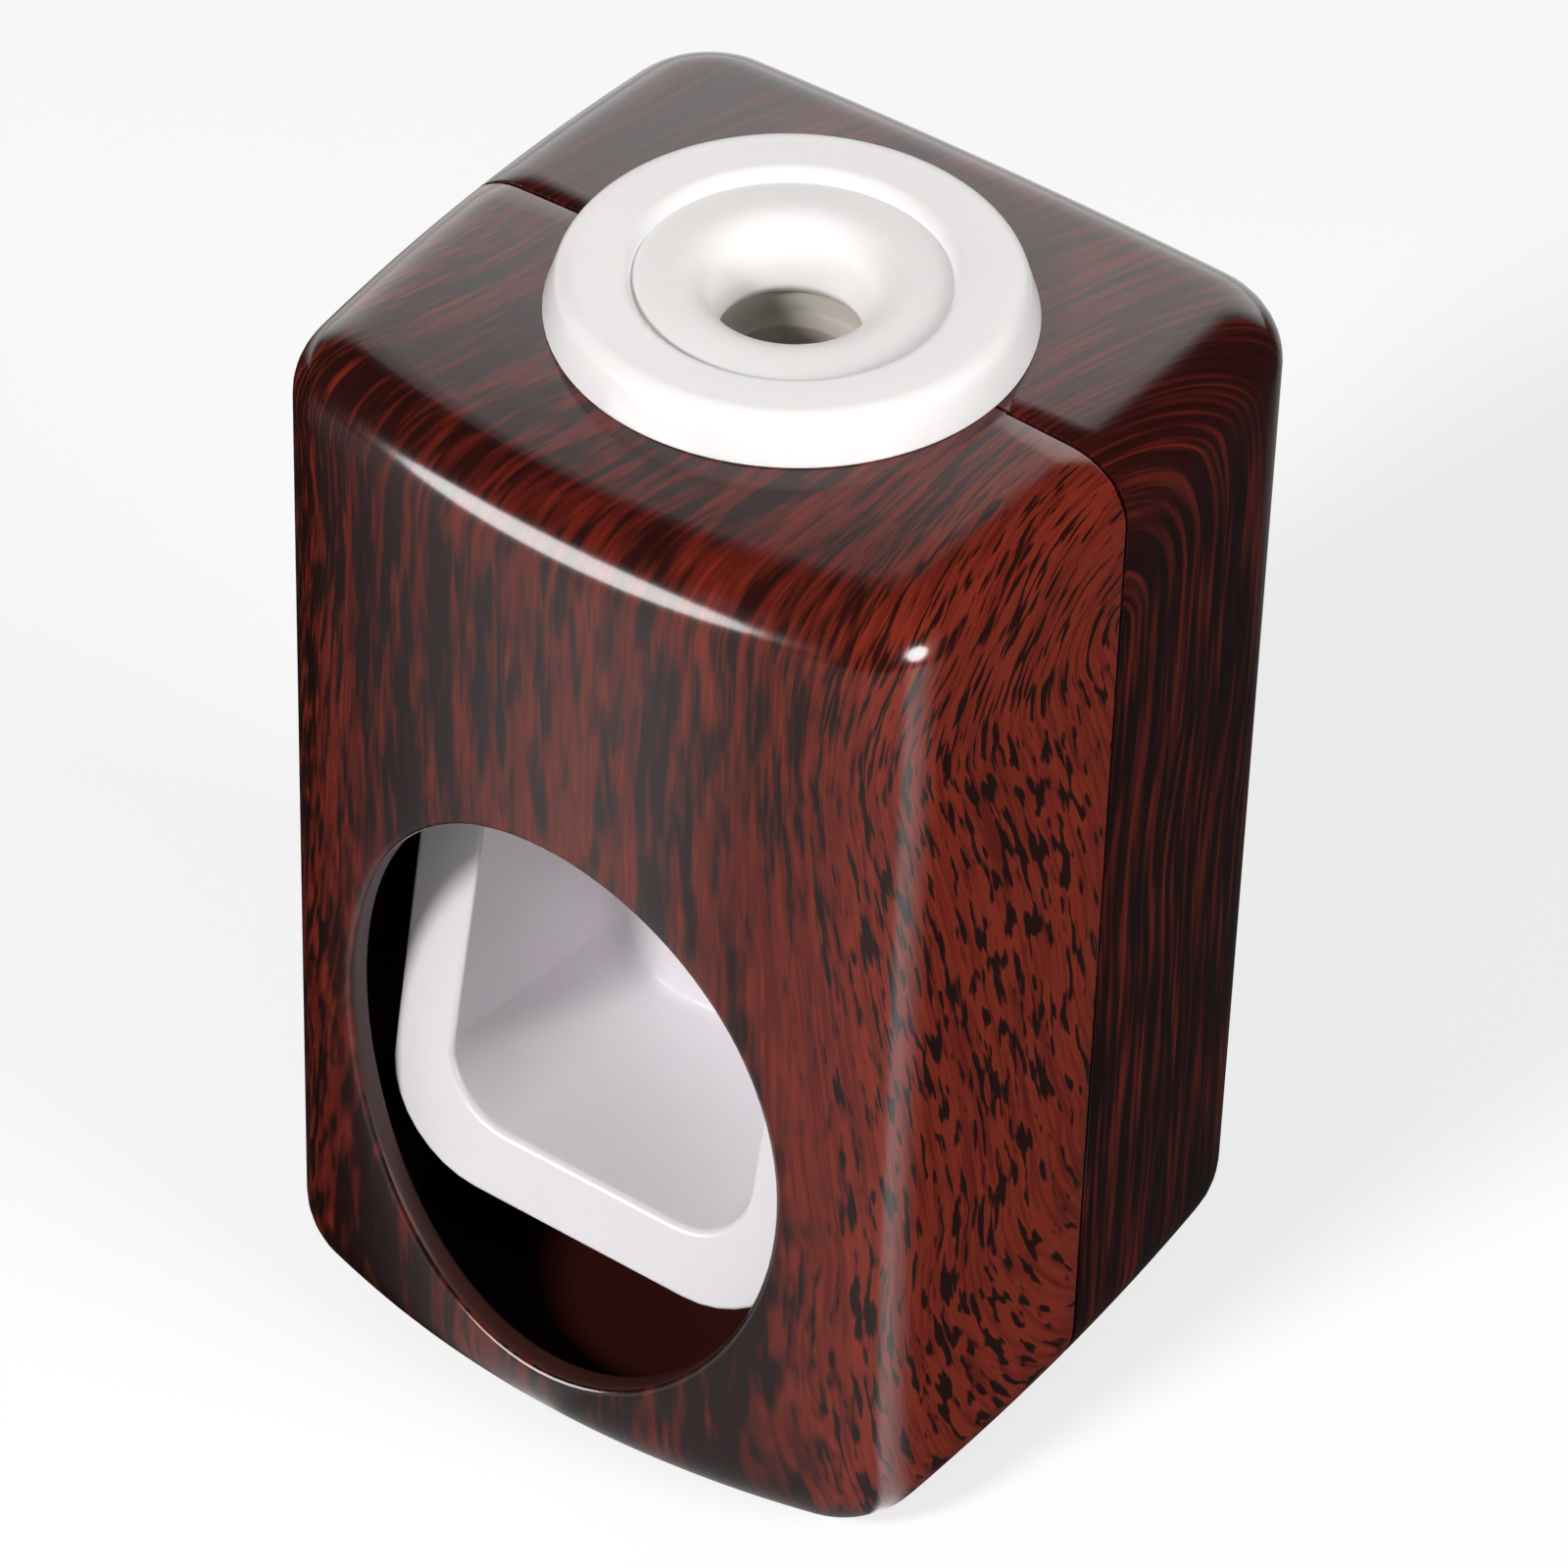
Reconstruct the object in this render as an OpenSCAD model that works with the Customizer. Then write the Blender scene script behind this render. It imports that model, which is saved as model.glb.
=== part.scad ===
// Hands-free toothpaste dispenser in a wood-look casing.
// A tube stands upside down in the collar. A toothbrush pushed into the front opening
// swings the white scoop back, and the scoop's cross plate squeezes a silicone bulb.
// The front faces -Y and +Z is up. The origin is the middle of the base.

/* [Casing] */
// Width across the bulged side panels
case_w = 60; // [57:0.5:72]
// Depth of the plain box, without the bulge of the front panel
case_d = 54; // [52:0.5:64]
// Height in the middle of the crowned top
case_h = 94; // [92:0.5:104]
// How far the front panel bulges forward
front_bulge = 3; // [1.5:0.1:5]
// How far each side panel bulges outward
side_bulge = 0.7; // [0.3:0.1:1.5]
// How much lower the top lies at the side edges than in its middle
top_crown = 0.8; // [0.3:0.1:1.2]
// Radius of the upright corners
corner_r = 8; // [7.5:0.5:11]
// Radius of the edge round the top
top_edge_r = 5; // [4:0.5:6.5]
// Radius of the edge round the base
base_edge_r = 7; // [4.5:0.5:7]
// Thickness of the moulded walls
wall = 2.2; // [1.8:0.1:2.8]
// Open joint that shows between the two shells
seam_gap = 0.3; // [0.2:0.05:0.5]
// Thickness of the rear shell's lip
lip_t = 1; // [0.8:0.1:1.2]
// How far the lip reaches into the front shell
lip_len = 2.5; // [1.5:0.1:3.5]
// Height of each snap tab
tab_h = 8; // [5:0.5:12]
// Thickness of each snap tab
tab_t = 1.5; // [1.2:0.1:1.8]

/* [Front opening] */
// Width of the oval opening
opening_w = 40; // [36:0.5:44]
// Height of the oval opening
opening_h = 54; // [48:0.5:56]
// Height of the opening's middle above the base
opening_z = 35; // [33:0.5:42]

/* [Collar and gasket] */
// Radius of the collar where it meets the casing
collar_r = 18.3; // [17.8:0.1:20]
// Radius of the collar's shoulder
shoulder_r = 16.85; // [15:0.05:17.5]
// Height of the shoulder above the casing
collar_h = 3.6; // [2.6:0.1:5]
// Rounding of the shoulder
shoulder_round = 1; // [0.5:0.1:1.4]
// Radius of the gasket's face
gasket_r = 11.6; // [11:0.1:12.4]
// Height of the gasket's face above the casing
gasket_rise = 2.5; // [1.5:0.1:2.5]
// Radius of the throat that grips the tube's neck
throat_r = 5.2; // [4.5:0.1:5.6]
// Radius of the roll that leads into the throat
roll_r = 5; // [3.5:0.1:5.2]
// Radius of the gasket's skirt
skirt_r = 9.3; // [8.8:0.1:9.6]
// Radius of the collar's neck through the casing
neck_r = 13; // [12.5:0.1:13.6]
// Height of the nut under the frame
nut_h = 3; // [2:0.1:3.4]
// How far the nut reaches past the neck
nut_rim = 3.5; // [2.5:0.1:4]

/* [Pump] */
// Depth of the pump holder's top face below the top of the casing
holder_drop = 16.5; // [16:0.1:18]
// Outer radius of the squeeze bulb
bulb_r = 7.5; // [6.5:0.1:8]
// Wall of the bulb
bulb_wall = 1.5; // [1.2:0.1:1.8]
// Length of the bulb under the holder
bulb_len = 22; // [20:0.5:24]
// Thickness of the bulb's flange
bulb_flange_t = 1.5; // [1.2:0.1:2]
// Outer radius of the bulb's lower neck
bulb_neck_r = 5.4; // [5:0.1:5.8]
// Height of the bulb's lower neck
bulb_neck_h = 4; // [3:0.1:4.5]
// Thickness of the valve seat
valve_seat_t = 2; // [1.6:0.1:2.4]
// Radius of the umbrella valve
umbrella_r = 4.6; // [4.2:0.1:5]
// Section radius of the seal ring
seal_r = 0.7; // [0.5:0.05:0.8]
// Outer radius of the outlet nozzle
nozzle_r = 4.6; // [4.3:0.1:5]
// Bore radius of the outlet nozzle
nozzle_bore_r = 2.9; // [2.6:0.05:3.1]
// How far the nozzle reaches below its shelf's top face
nozzle_drop = 6.5; // [6:0.1:7]
// Radius of the ring that closes the nozzle
ring_r = 5.8; // [5.6:0.1:6.2]

/* [Scoop] */
// Inner width of the scoop at its mouth
scoop_w = 26.8; // [24:0.2:28]
// Inner width of the scoop at its back wall
scoop_back_w = 25; // [23.6:0.2:25.4]
// Depth of the scoop from its rim to its back wall
scoop_depth = 23.6; // [20:0.1:26]
// Height of the floor at the mouth
floor_z = 23.8; // [22.5:0.1:26]
// How much lower the floor lies at the back wall
floor_fall = 1.8; // [0.5:0.1:2.5]
// Radius where the floor meets the side walls
scoop_corner_r = 5.5; // [4:0.1:7]
// Radius where the floor and sides meet the back wall
scoop_back_r = 2.5; // [1.5:0.1:3]
// Wall of the scoop
scoop_wall = 1.6; // [1.2:0.1:1.9]
// Width of the rim beside the mouth
rim_w = 5.1; // [4:0.1:5.6]
// Height of the rim under the mouth
rim_h = 6.8; // [5:0.1:8]
// Outer corner radius of the rim
rim_corner_r = 8.5; // [6:0.1:10]
// How far the rim leans back, in degrees
rim_lean = 12; // [8:0.5:14]
// How far the top of the back wall lies under the nozzle's tip
back_drop = 4.5; // [3.5:0.5:8]
// How far below the pivot the rim turns upright into the arms
arm_drop = 28; // [22:0.5:30]
// Depth of the arms from front to back
arm_d = 8; // [6.5:0.1:9]

/* [Pivot] */
// How far the pivot lies in front of the bulb's axis
pivot_ahead = 14; // [13.6:0.1:15]
// Depth of the pivot below the top of the casing
pivot_drop = 18; // [17.6:0.1:20]
// Angle that the scoop swings back, in degrees
travel = 16; // [12:0.5:16.5]
// Radius of the pivot pin
pin_r = 1.5; // [1.3:0.05:1.6]
// Radius of the hub on each arm
hub_r = 4.2; // [3.8:0.1:4.6]
// Wall of the pivot bushes
bush_t = 0.7; // [0.6:0.05:0.8]
// Thickness of the flange on each bush
bush_flange_t = 0.6; // [0.4:0.1:1]
// Running clearance round the pin
run_gap = 0.05; // [0.03:0.01:0.08]
// Thickness of the spring wire
wire_d = 0.65; // [0.5:0.05:0.7]
// Full turns of each return spring
spring_turns = 3; // [2:1:3]
// Distance between neighbouring turns
spring_pitch = 0.75; // [0.72:0.01:0.8]

/* [Frame] */
// Thickness of the rest bumpers
rest_t = 1.2; // [0.8:0.1:1.6]
// Thickness of the frame's plates
frame_t = 2.2; // [1.8:0.1:2.6]
// Radius of each frame screw
screw_r = 1.1; // [0.9:0.05:1.3]
// Length of each frame screw below its head
screw_len = 9; // [7:0.5:11]
// Radius of the screw heads
head_r = 2.3; // [2:0.1:2.6]
// Radius of the rubber travel bumper
bumper_r = 5; // [4:0.1:6]
// Height on the back wall that meets the travel bumper at rest
bumper_z = 32; // [29:0.5:34]
// Gap between parts that move past each other
play = 0.3; // [0.25:0.05:0.4]
// Gap round parts that slide into each other
fit_gap = 0.1; // [0.05:0.05:0.2]

/* [Wall pad] */
// Width of the adhesive foam pad
pad_w = 38; // [30:1:40]
// Height of the adhesive foam pad
pad_h = 62; // [50:1:66]
// Thickness of the foam
pad_t = 1.2; // [1:0.1:1.6]
// How far the foam stands out of its recess
pad_proud = 0.5; // [0.3:0.1:0.7]
// Corner radius of the foam
pad_corner_r = 4; // [3:0.5:6]

/* [Hidden] */
$fn = 64;

// Segments along each bulged panel, round each corner and over each edge
front_steps = 12;
side_steps = 4;
back_steps = 4;
corner_steps = 8;
edge_steps = 5;

// Casing
seam_y = (front_bulge - pad_proud) / 2;
front_y = seam_y - case_d / 2;
back_y = seam_y + case_d / 2;
half_w = case_w / 2;
side_in = half_w - wall;
corner_x = half_w - side_bulge - corner_r;
seat_z = case_h - top_drop(collar_r);
hole_r = neck_r + 0.2;

// Frame and collar stack, from the top down
plate_top_z = case_h - wall - top_crown;
plate_z = plate_top_z - frame_t;
nut_z = plate_z - nut_h;
neck_z = nut_z - nut_h / 5;
bore_r = skirt_r + fit_gap;
low_neck_r = bore_r + wall * 0.64;
ledge_z = case_h - wall * 0.9;
holder_z = case_h - holder_drop;
seat_low_z = holder_z + bulb_flange_t;
seat_top_z = seat_low_z + valve_seat_t;
valve_rib_z = seat_top_z - valve_seat_t * 0.3;
gasket_z = seat_top_z + 2 * seal_r;
bulb_z = holder_z - bulb_len;
nozzle_flange_t = bulb_wall;
shelf_z = bulb_z - nozzle_flange_t;
spout_z = shelf_z - nozzle_drop;
valve_flange_t = bulb_wall / 2;
ring_lip_t = bulb_wall * 0.8;
tip_z = spout_z - valve_flange_t - ring_lip_t;
backbone_y = seam_y + bulb_r + play;
frame_back_y = backbone_y + frame_t;
plate_y = neck_r + wall * 0.7;

// Scoop and pivot
rim_x = scoop_w / 2 + rim_w;
rim_y = front_y - bulge_at(rim_x) + wall + play + 0.15;
rim_z = floor_z - rim_h;
back_in_y = rim_y + scoop_depth;
back_out_y = back_in_y + scoop_wall;
pivot_y = seam_y - pivot_ahead;
pivot_z = case_h - pivot_drop;
arm_z = pivot_z - arm_drop;
arm_y = rim_y + (arm_z - rim_z) * tan(rim_lean);
back_top_z = tip_z - back_drop;
plug_r = bulb_wall - fit_gap;
bush_r = pin_r + run_gap + bush_t;
sleeve_r = bush_r + 0.75;
inner_x = scoop_back_w / 2 - 0.2;
hub_in_x = bulb_r + 0.9;
hub_out_x = rim_x + 0.5;
cheek_x = hub_out_x + bush_flange_t + play;
cheek_out_x = cheek_x + frame_t - 0.2;
screw_x = cheek_x - head_r - play;
pin_x = cheek_out_x + 1.4;
coil_r = sleeve_r + play + wire_d / 2;
tail_z = min(pivot_z + hub_r + 3.6, nut_z - 1.4);
tail_back_y = pivot_y + 2.5;
lug_y = tail_back_y + play + rest_t;
leg_y = pivot_y + coil_r;
cross_y = leg_y - wire_d / 2 - play;
cross_t = scoop_wall;
cross_top_z = pivot_z - coil_r - 1.9;
cross_z = bulb_z + 3;
screw_zs = [bulb_z + 2, holder_z - 4];

function top_drop(r) = top_crown * pow(r / (case_w / 2), 2);
function bulge_at(x) = front_bulge * (1 - pow(x / (case_w / 2 - side_bulge - corner_r), 2));
function mix(a, b, t) = a + (b - a) * t;
function arc(c, r, a0, a1, n) = [for (i = [0:n]) c + r * [cos(mix(a0, a1, i / n)), sin(mix(a0, a1, i / n))]];
// Half the angle that an arc of this sag turns through
function half_turn(sag, len) = 2 * atan(2 * sag / len);
// Turns a point of the side view with the scoop about the pivot
function swung(p, a) =
    let (d = p - [pivot_y, pivot_z])
    [pivot_y + d.x * cos(a) - d.y * sin(a), pivot_z + d.x * sin(a) + d.y * cos(a)];

// One bulged panel between two corner centres, set outward by r
function panel(p0, p1, sag, r, n) =
    let (len = norm(p1 - p0),
        dir = (p1 - p0) / len,
        out = [dir.y, -dir.x],
        half = half_turn(sag, len),
        rad = sag > 0 ? len / 2 / sin(half) : 0)
    [for (i = [0:n])
        let (a = half * (2 * i / n - 1), nrm = dir * sin(a) + out * cos(a))
        (sag > 0 ? (p0 + p1) / 2 - out * rad * cos(half) + nrm * rad : mix(p0, p1, i / n)) + nrm * r];
// The round between two panels, without its end points
function corner(c, a0, a1, r) =
    [for (i = [1:corner_steps - 1]) c + r * [cos(mix(a0, a1, i / corner_steps)), sin(mix(a0, a1, i / corner_steps))]];
// Plan outline of the casing with corners of radius r, anticlockwise
function outline(r) =
    let (fl = [-corner_x, front_y + corner_r],
        fr = [corner_x, front_y + corner_r],
        br = [corner_x, back_y - corner_r],
        bl = [-corner_x, back_y - corner_r],
        f = half_turn(front_bulge, 2 * corner_x),
        s = half_turn(side_bulge, case_d - 2 * corner_r))
    concat(panel(fl, fr, front_bulge, r, front_steps), corner(fr, -90 + f, -s, r),
        panel(fr, br, side_bulge, r, side_steps), corner(br, s, 90, r),
        panel(br, bl, 0, r, back_steps), corner(bl, 90, 180 - s, r),
        panel(bl, fl, side_bulge, r, side_steps), corner(fl, 180 + s, 270 - f, r));
function top_at(p, inset) = case_h - inset - top_drop(norm([p.x, p.y - seam_y]));
// Rings of the casing's form, inset by a wall, from the base to the crown
function casing_rings(inset) =
    let (rb = base_edge_r - inset, rt = top_edge_r - inset, r = corner_r - inset)
    concat(
        [for (i = [0:edge_steps]) let (a = 90 * i / edge_steps)
            [for (p = outline(r - rb * (1 - sin(a)))) [p.x, p.y, inset + rb * (1 - cos(a))]]],
        [for (i = [edge_steps:-1:0]) let (a = 90 * i / edge_steps)
            [for (p = outline(r - rt * (1 - sin(a)))) [p.x, p.y, top_at(p, inset) - rt * (1 - cos(a))]]],
        [for (k = [0.72, 0.4])
            [for (p = outline(r - rt)) let (q = [p.x * k, mix(seam_y, p.y, k)]) [q.x, q.y, top_at(q, inset)]]]);

// Section of the scoop across its depth, seen from the back, at one Y
function scoop_ring(y, grow, top_z) =
    let (t = (y - rim_y) / scoop_depth,
        w = mix(scoop_w, scoop_back_w, t) / 2 + grow,
        z = floor_z - floor_fall * t - grow,
        r = scoop_corner_r + grow)
    [for (p = concat([[-w, top_z], [w, top_z]], arc([w - r, z + r], r, 0, -90, 8), arc([r - w, z + r], r, -90, -180, 8)))
        [p.x, y, p.y]];
// Rings of the scoop's form from the mouth to a rounded back
function scoop_rings(y0, y1, grow, edge, top_z) =
    concat([scoop_ring(y0, grow, top_z)],
        [for (i = [0:4]) let (a = 90 * i / 4)
            scoop_ring(y1 - edge * (1 - sin(a)), grow - edge * (1 - cos(a)), top_z)]);

// Path of one return spring: leg down behind the cross plate, coil, leg back under the holder
spring_x = hub_in_x + 0.1 + wire_d / 2;
coil_end = 360 * spring_turns + 270;
function coil_point(a) =
    [spring_x + spring_pitch * (coil_end - a) / 360, pivot_y + coil_r * cos(a), pivot_z + coil_r * sin(a)];
spring_path = concat(
    [for (z = [cross_z + 4, pivot_z - 4]) [coil_point(0).x, leg_y, z]],
    [for (a = [0:30:coil_end]) coil_point(a)],
    [for (y = [pivot_y + 3, seam_y + 4]) [spring_x, y, pivot_z - coil_r]]);
function unit(v) = v / norm(v);
function wire_rings(path, r) =
    [for (i = [0:len(path) - 1])
        let (t = unit(path[min(i + 1, len(path) - 1)] - path[max(i - 1, 0)]),
            n = unit([1, 0, 0] - t * t.x),
            b = cross(t, n))
        [for (k = [0:7]) path[i] + r * (n * cos(45 * k) + b * sin(45 * k))]];

// Closed solid through a stack of rings, with a flat or a pointed last end
module skin(rings, apex = undef) {
    n = len(rings[0]);
    m = len(rings);
    sides = [for (k = [0:m - 2], i = [0:n - 1])
        let (a = k * n + i, b = k * n + (i + 1) % n)
        each [[a, a + n, b + n], [a, b + n, b]]];
    last = (m - 1) * n;
    lid = is_undef(apex) ? [[for (i = [n - 1:-1:0]) last + i]]
        : [for (i = [0:n - 1]) [m * n, last + (i + 1) % n, last + i]];
    points = [for (r = rings) each r];
    polyhedron(is_undef(apex) ? points : concat(points, [apex]),
        concat([[for (i = [0:n - 1]) i]], sides, lid));
}

// Side profile in Y and Z, drawn out along X
module along_x(x0, x1) {
    translate([x0, 0, 0]) rotate([90, 0, 90]) linear_extrude(x1 - x0) children();
}

// Front profile in X and Z, drawn out along Y
module along_y(y0, y1) {
    translate([0, y1, 0]) rotate([90, 0, 0]) linear_extrude(y1 - y0) children();
}

module rod_x(r, x0, x1, y, z) {
    translate([x0, y, z]) rotate([0, 90, 0]) cylinder(h = x1 - x0, r = r);
}

module rod_y(r, y0, y1, x, z) {
    translate([x, y0, z]) rotate([-90, 0, 0]) cylinder(h = y1 - y0, r = r);
}

// Upright cylinder or bore on the axis of the inlet and the pump
module on_axis(r, z0, z1) {
    translate([0, seam_y, z0]) cylinder(h = z1 - z0, r = r);
}

// Turned part on the axis of the inlet and the pump
module turned() {
    translate([0, seam_y, 0]) rotate_extrude() children();
}

module block(x0, x1, y0, y1, z0, z1) {
    translate([x0, y0, z0]) cube([x1 - x0, y1 - y0, z1 - z0]);
}

module both_sides() {
    children();
    mirror([1, 0, 0]) children();
}

// Upright plate with rounded corners, centred on X
module rounded_plate(w, h, r, y0, y1, z) {
    block(-w / 2 + r, w / 2 - r, y0, y1, z - h / 2, z + h / 2);
    block(-w / 2, w / 2, y0, y1, z - h / 2 + r, z + h / 2 - r);
    for (x = [r - w / 2, w / 2 - r], dz = [r - h / 2, h / 2 - r]) rod_y(r, y0, y1, x, z + dz);
}

// Casing
module casing_form(inset) {
    skin(casing_rings(inset), [0, seam_y, case_h - inset]);
}

module casing_wall() {
    difference() {
        casing_form(0);
        casing_form(wall);
    }
}

// Everything from y0 to y1 in depth
module slab(y0, y1) {
    block(-case_w, case_w, y0, y1, -1, case_h + 1);
}

// Hole for the collar's neck, and the flat that its skirt sits on
module collar_cut() {
    on_axis(hole_r, plate_z, case_h + 1);
    on_axis(collar_r + fit_gap, seat_z, case_h + 1);
}

// Heights of the middles of the snap tabs
tab_zs = [base_edge_r + 2 * tab_h, case_h - 3 * tab_h];

module snap_tab(z) {
    root_y = seam_y - lip_len - 0.6;
    x0 = side_in - 0.2 - tab_t;
    translate([0, 0, z - tab_h / 2]) linear_extrude(tab_h)
        polygon([[x0, root_y - 8], [side_in + 0.6, root_y - 8], [side_in + 0.6, root_y],
            [side_in - 0.2, root_y], [side_in - 0.2, seam_y + 5], [side_in + 0.6, seam_y + 5.2],
            [side_in + 0.6, seam_y + 5.8], [side_in - 0.6, seam_y + 8], [x0, seam_y + 8]]);
}

module front_shell() {
    color([0.27, 0.09, 0.07]) difference() {
        union() {
            intersection() {
                casing_wall();
                slab(front_y - 2 * front_bulge, seam_y - seam_gap / 2);
            }
            both_sides() for (z = tab_zs) snap_tab(z);
        }
        // Room for the rear shell's lip
        intersection() {
            difference() {
                casing_form(wall - lip_t - fit_gap);
                casing_form(wall + fit_gap);
            }
            slab(seam_y - lip_len - fit_gap, seam_y);
        }
        along_y(front_y - 2 * front_bulge, front_y + wall + 2)
            translate([0, opening_z])
                polygon([for (i = [0:71]) [opening_w / 2 * cos(5 * i), opening_h / 2 * sin(5 * i)]]);
        collar_cut();
    }
}

// Middle of the bumper's ball, where the scoop's back wall meets it at full travel
bumper_c = swung([back_out_y + bumper_r + play, bumper_z], travel);
post_y = bumper_c.x + bumper_r * 0.3;

module rear_shell() {
    color([0.24, 0.08, 0.07]) difference() {
        union() {
            intersection() {
                casing_wall();
                slab(seam_y + seam_gap / 2, back_y + 1);
            }
            // Lip that lines up the two shells
            intersection() {
                difference() {
                    casing_form(wall - lip_t);
                    casing_form(wall);
                }
                slab(seam_y - lip_len, seam_y + 1);
            }
            // Bosses that carry the frame, and the post of the travel bumper
            both_sides() for (z = screw_zs) rod_y(head_r + 0.9, frame_back_y, back_y - wall / 2, screw_x, z);
            rod_y(bumper_r - 0.6, post_y, back_y - wall / 2, 0, bumper_c.y);
            block(-bumper_r - 1, bumper_r + 1, post_y + bumper_r / 2, back_y - wall / 2, bumper_c.y - 0.7, bumper_c.y + 0.7);
        }
        both_sides() for (z = screw_zs) rod_y(screw_r, frame_back_y - 1, frame_back_y + screw_len, screw_x, z);
        rod_y(bumper_r * 0.3, post_y - 1, post_y + bumper_r, 0, bumper_c.y);
        both_sides() for (z = tab_zs)
            block(side_in - 1, side_in + 0.8, seam_y + 4.8, seam_y + 8.2, z - tab_h / 2 - 0.4, z + tab_h / 2 + 0.4);
        rounded_plate(pad_w + 2 * fit_gap, pad_h + 2 * fit_gap, pad_corner_r, back_y - pad_t + pad_proud, back_y + 1, case_h / 2);
        collar_cut();
    }
}

// Inlet
module inlet_collar() {
    face_z = case_h + gasket_rise;
    shoulder_z = case_h + collar_h;
    color("white") turned() polygon(concat(
        [[collar_r, seat_z]],
        arc([shoulder_r - shoulder_round, shoulder_z - shoulder_round], shoulder_round, 15, 105, 5),
        [[gasket_r + 0.5, face_z + 0.15], [gasket_r, face_z - 0.3], [gasket_r, ledge_z],
            [bore_r, ledge_z], [bore_r, seat_low_z + 0.3], [low_neck_r, seat_low_z + 0.3],
            [low_neck_r, neck_z - 1], [neck_r, neck_z], [neck_r, seat_z]]));
}

module inlet_gasket() {
    face_z = case_h + gasket_rise;
    roll_x = throat_r + roll_r;
    color([0.93, 0.92, 0.88]) turned() polygon(concat(
        [[throat_r, gasket_z], [skirt_r, gasket_z], [skirt_r, ledge_z], [gasket_r - fit_gap, ledge_z],
            [gasket_r - fit_gap, face_z - 0.15], [gasket_r - 0.3, face_z]],
        arc([roll_x, face_z - 0.15 - roll_r], roll_r, 90, 180, 8)));
}

module collar_nut() {
    grip = 1.1;
    color("white") difference() {
        on_axis(neck_r + nut_rim, nut_z, plate_z);
        on_axis(neck_r + fit_gap / 2, nut_z - 1, plate_z + 1);
        for (a = [0:30:330])
            translate([0, seam_y, nut_z - 1]) rotate([0, 0, a])
                translate([neck_r + nut_rim + grip * 0.3, 0, 0]) cylinder(h = nut_h + 2, r = grip, $fn = 24);
    }
}

module valve_seat() {
    color("white") difference() {
        on_axis(skirt_r - fit_gap, seat_low_z, seat_top_z);
        on_axis(throat_r + 0.3, valve_rib_z, seat_top_z + 1);
        on_axis(umbrella_r * 0.2, seat_low_z - 1, seat_top_z);
        for (a = [0:60:300])
            translate([0, seam_y, seat_low_z - 1]) rotate([0, 0, a])
                translate([umbrella_r * 0.6, 0, 0]) cylinder(h = valve_seat_t + 1, r = umbrella_r * 0.2, $fn = 24);
    }
}

// Umbrella with a stem that snaps through the seat; its sizes follow the umbrella's radius
module inlet_valve() {
    stem = [[0.18, 0.02], [0.3, 0.04], [0.2, 0.28], [0, 0.33]];
    color([0.85, 0.85, 0.82]) turned() polygon(concat(
        [for (q = [[0, -0.24], [0.65, -0.2], [1, -0.08], [1, -0.01], [0.18, -0.01]]) umbrella_r * q + [0, seat_low_z]],
        [for (q = stem) umbrella_r * q + [0, valve_rib_z]]));
}

module seal_ring() {
    color([0.25, 0.25, 0.27]) turned() translate([skirt_r - seal_r - 0.3, seat_top_z + seal_r])
        circle(r = seal_r, $fn = 24);
}

// Pump
module pump_bulb() {
    in_r = bulb_r - bulb_wall;
    neck_in_r = bulb_neck_r - bulb_wall * 0.9;
    neck_z = bulb_z + bulb_neck_h;
    color([0.88, 0.88, 0.85]) turned() polygon(concat(
        [[neck_in_r, bulb_z], [bulb_neck_r, bulb_z], [bulb_neck_r, neck_z]],
        arc([bulb_r - 2, neck_z + 3], 2, -50, 0, 4),
        [[bulb_r, holder_z], [skirt_r - fit_gap, holder_z], [skirt_r - fit_gap, seat_low_z], [in_r, seat_low_z]],
        arc([in_r - 1.5, neck_z + 3], 1.5, 0, -50, 4),
        [[neck_in_r, neck_z + 0.5]]));
}

// Band clamp with a pinched ear
module bulb_clamp() {
    z0 = bulb_z + bulb_neck_h / 5;
    z1 = z0 + bulb_neck_h / 2;
    band = bulb_wall * 0.6;
    ear = bulb_neck_r / 3;
    color("silver") difference() {
        union() {
            on_axis(bulb_neck_r + band, z0, z1);
            block(-ear, ear, seam_y + bulb_neck_r, seam_y + bulb_neck_r + 2 * band, z0, z1);
        }
        on_axis(bulb_neck_r, z0 - 1, z1 + 1);
        block(-band / 3, band / 3, seam_y + bulb_neck_r - 1, seam_y + bulb_neck_r + 3 * band, z0 - 1, z1 + 1);
    }
}

module outlet_nozzle() {
    spigot_r = bulb_neck_r - bulb_wall * 0.9;
    color("white") difference() {
        union() {
            on_axis(nozzle_r + 2.4, shelf_z, bulb_z);
            on_axis(spigot_r, bulb_z - 1, bulb_z + bulb_neck_h - 0.5);
            on_axis(nozzle_r, spout_z, shelf_z + 1);
        }
        on_axis(nozzle_bore_r, spout_z - 1, bulb_z + bulb_neck_h);
    }
}

module outlet_valve() {
    in_r = nozzle_bore_r - 1;
    flange_z = spout_z - valve_flange_t;
    color([0.85, 0.85, 0.82]) difference() {
        union() {
            on_axis(nozzle_r - fit_gap, flange_z, spout_z);
            on_axis(nozzle_bore_r - fit_gap, spout_z - 0.1, spout_z + 4);
            hull() {
                on_axis(nozzle_bore_r - 0.4, flange_z - 0.1, flange_z + 0.1, $fn = 32);
                block(-nozzle_bore_r + 0.5, nozzle_bore_r - 0.5, seam_y - 0.5, seam_y + 0.5, tip_z - 0.4, flange_z);
            }
        }
        on_axis(in_r, flange_z + 0.2, spout_z + 5);
        block(-in_r, in_r, seam_y - 0.1, seam_y + 0.1, tip_z - 1, flange_z + 1);
    }
}

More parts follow.
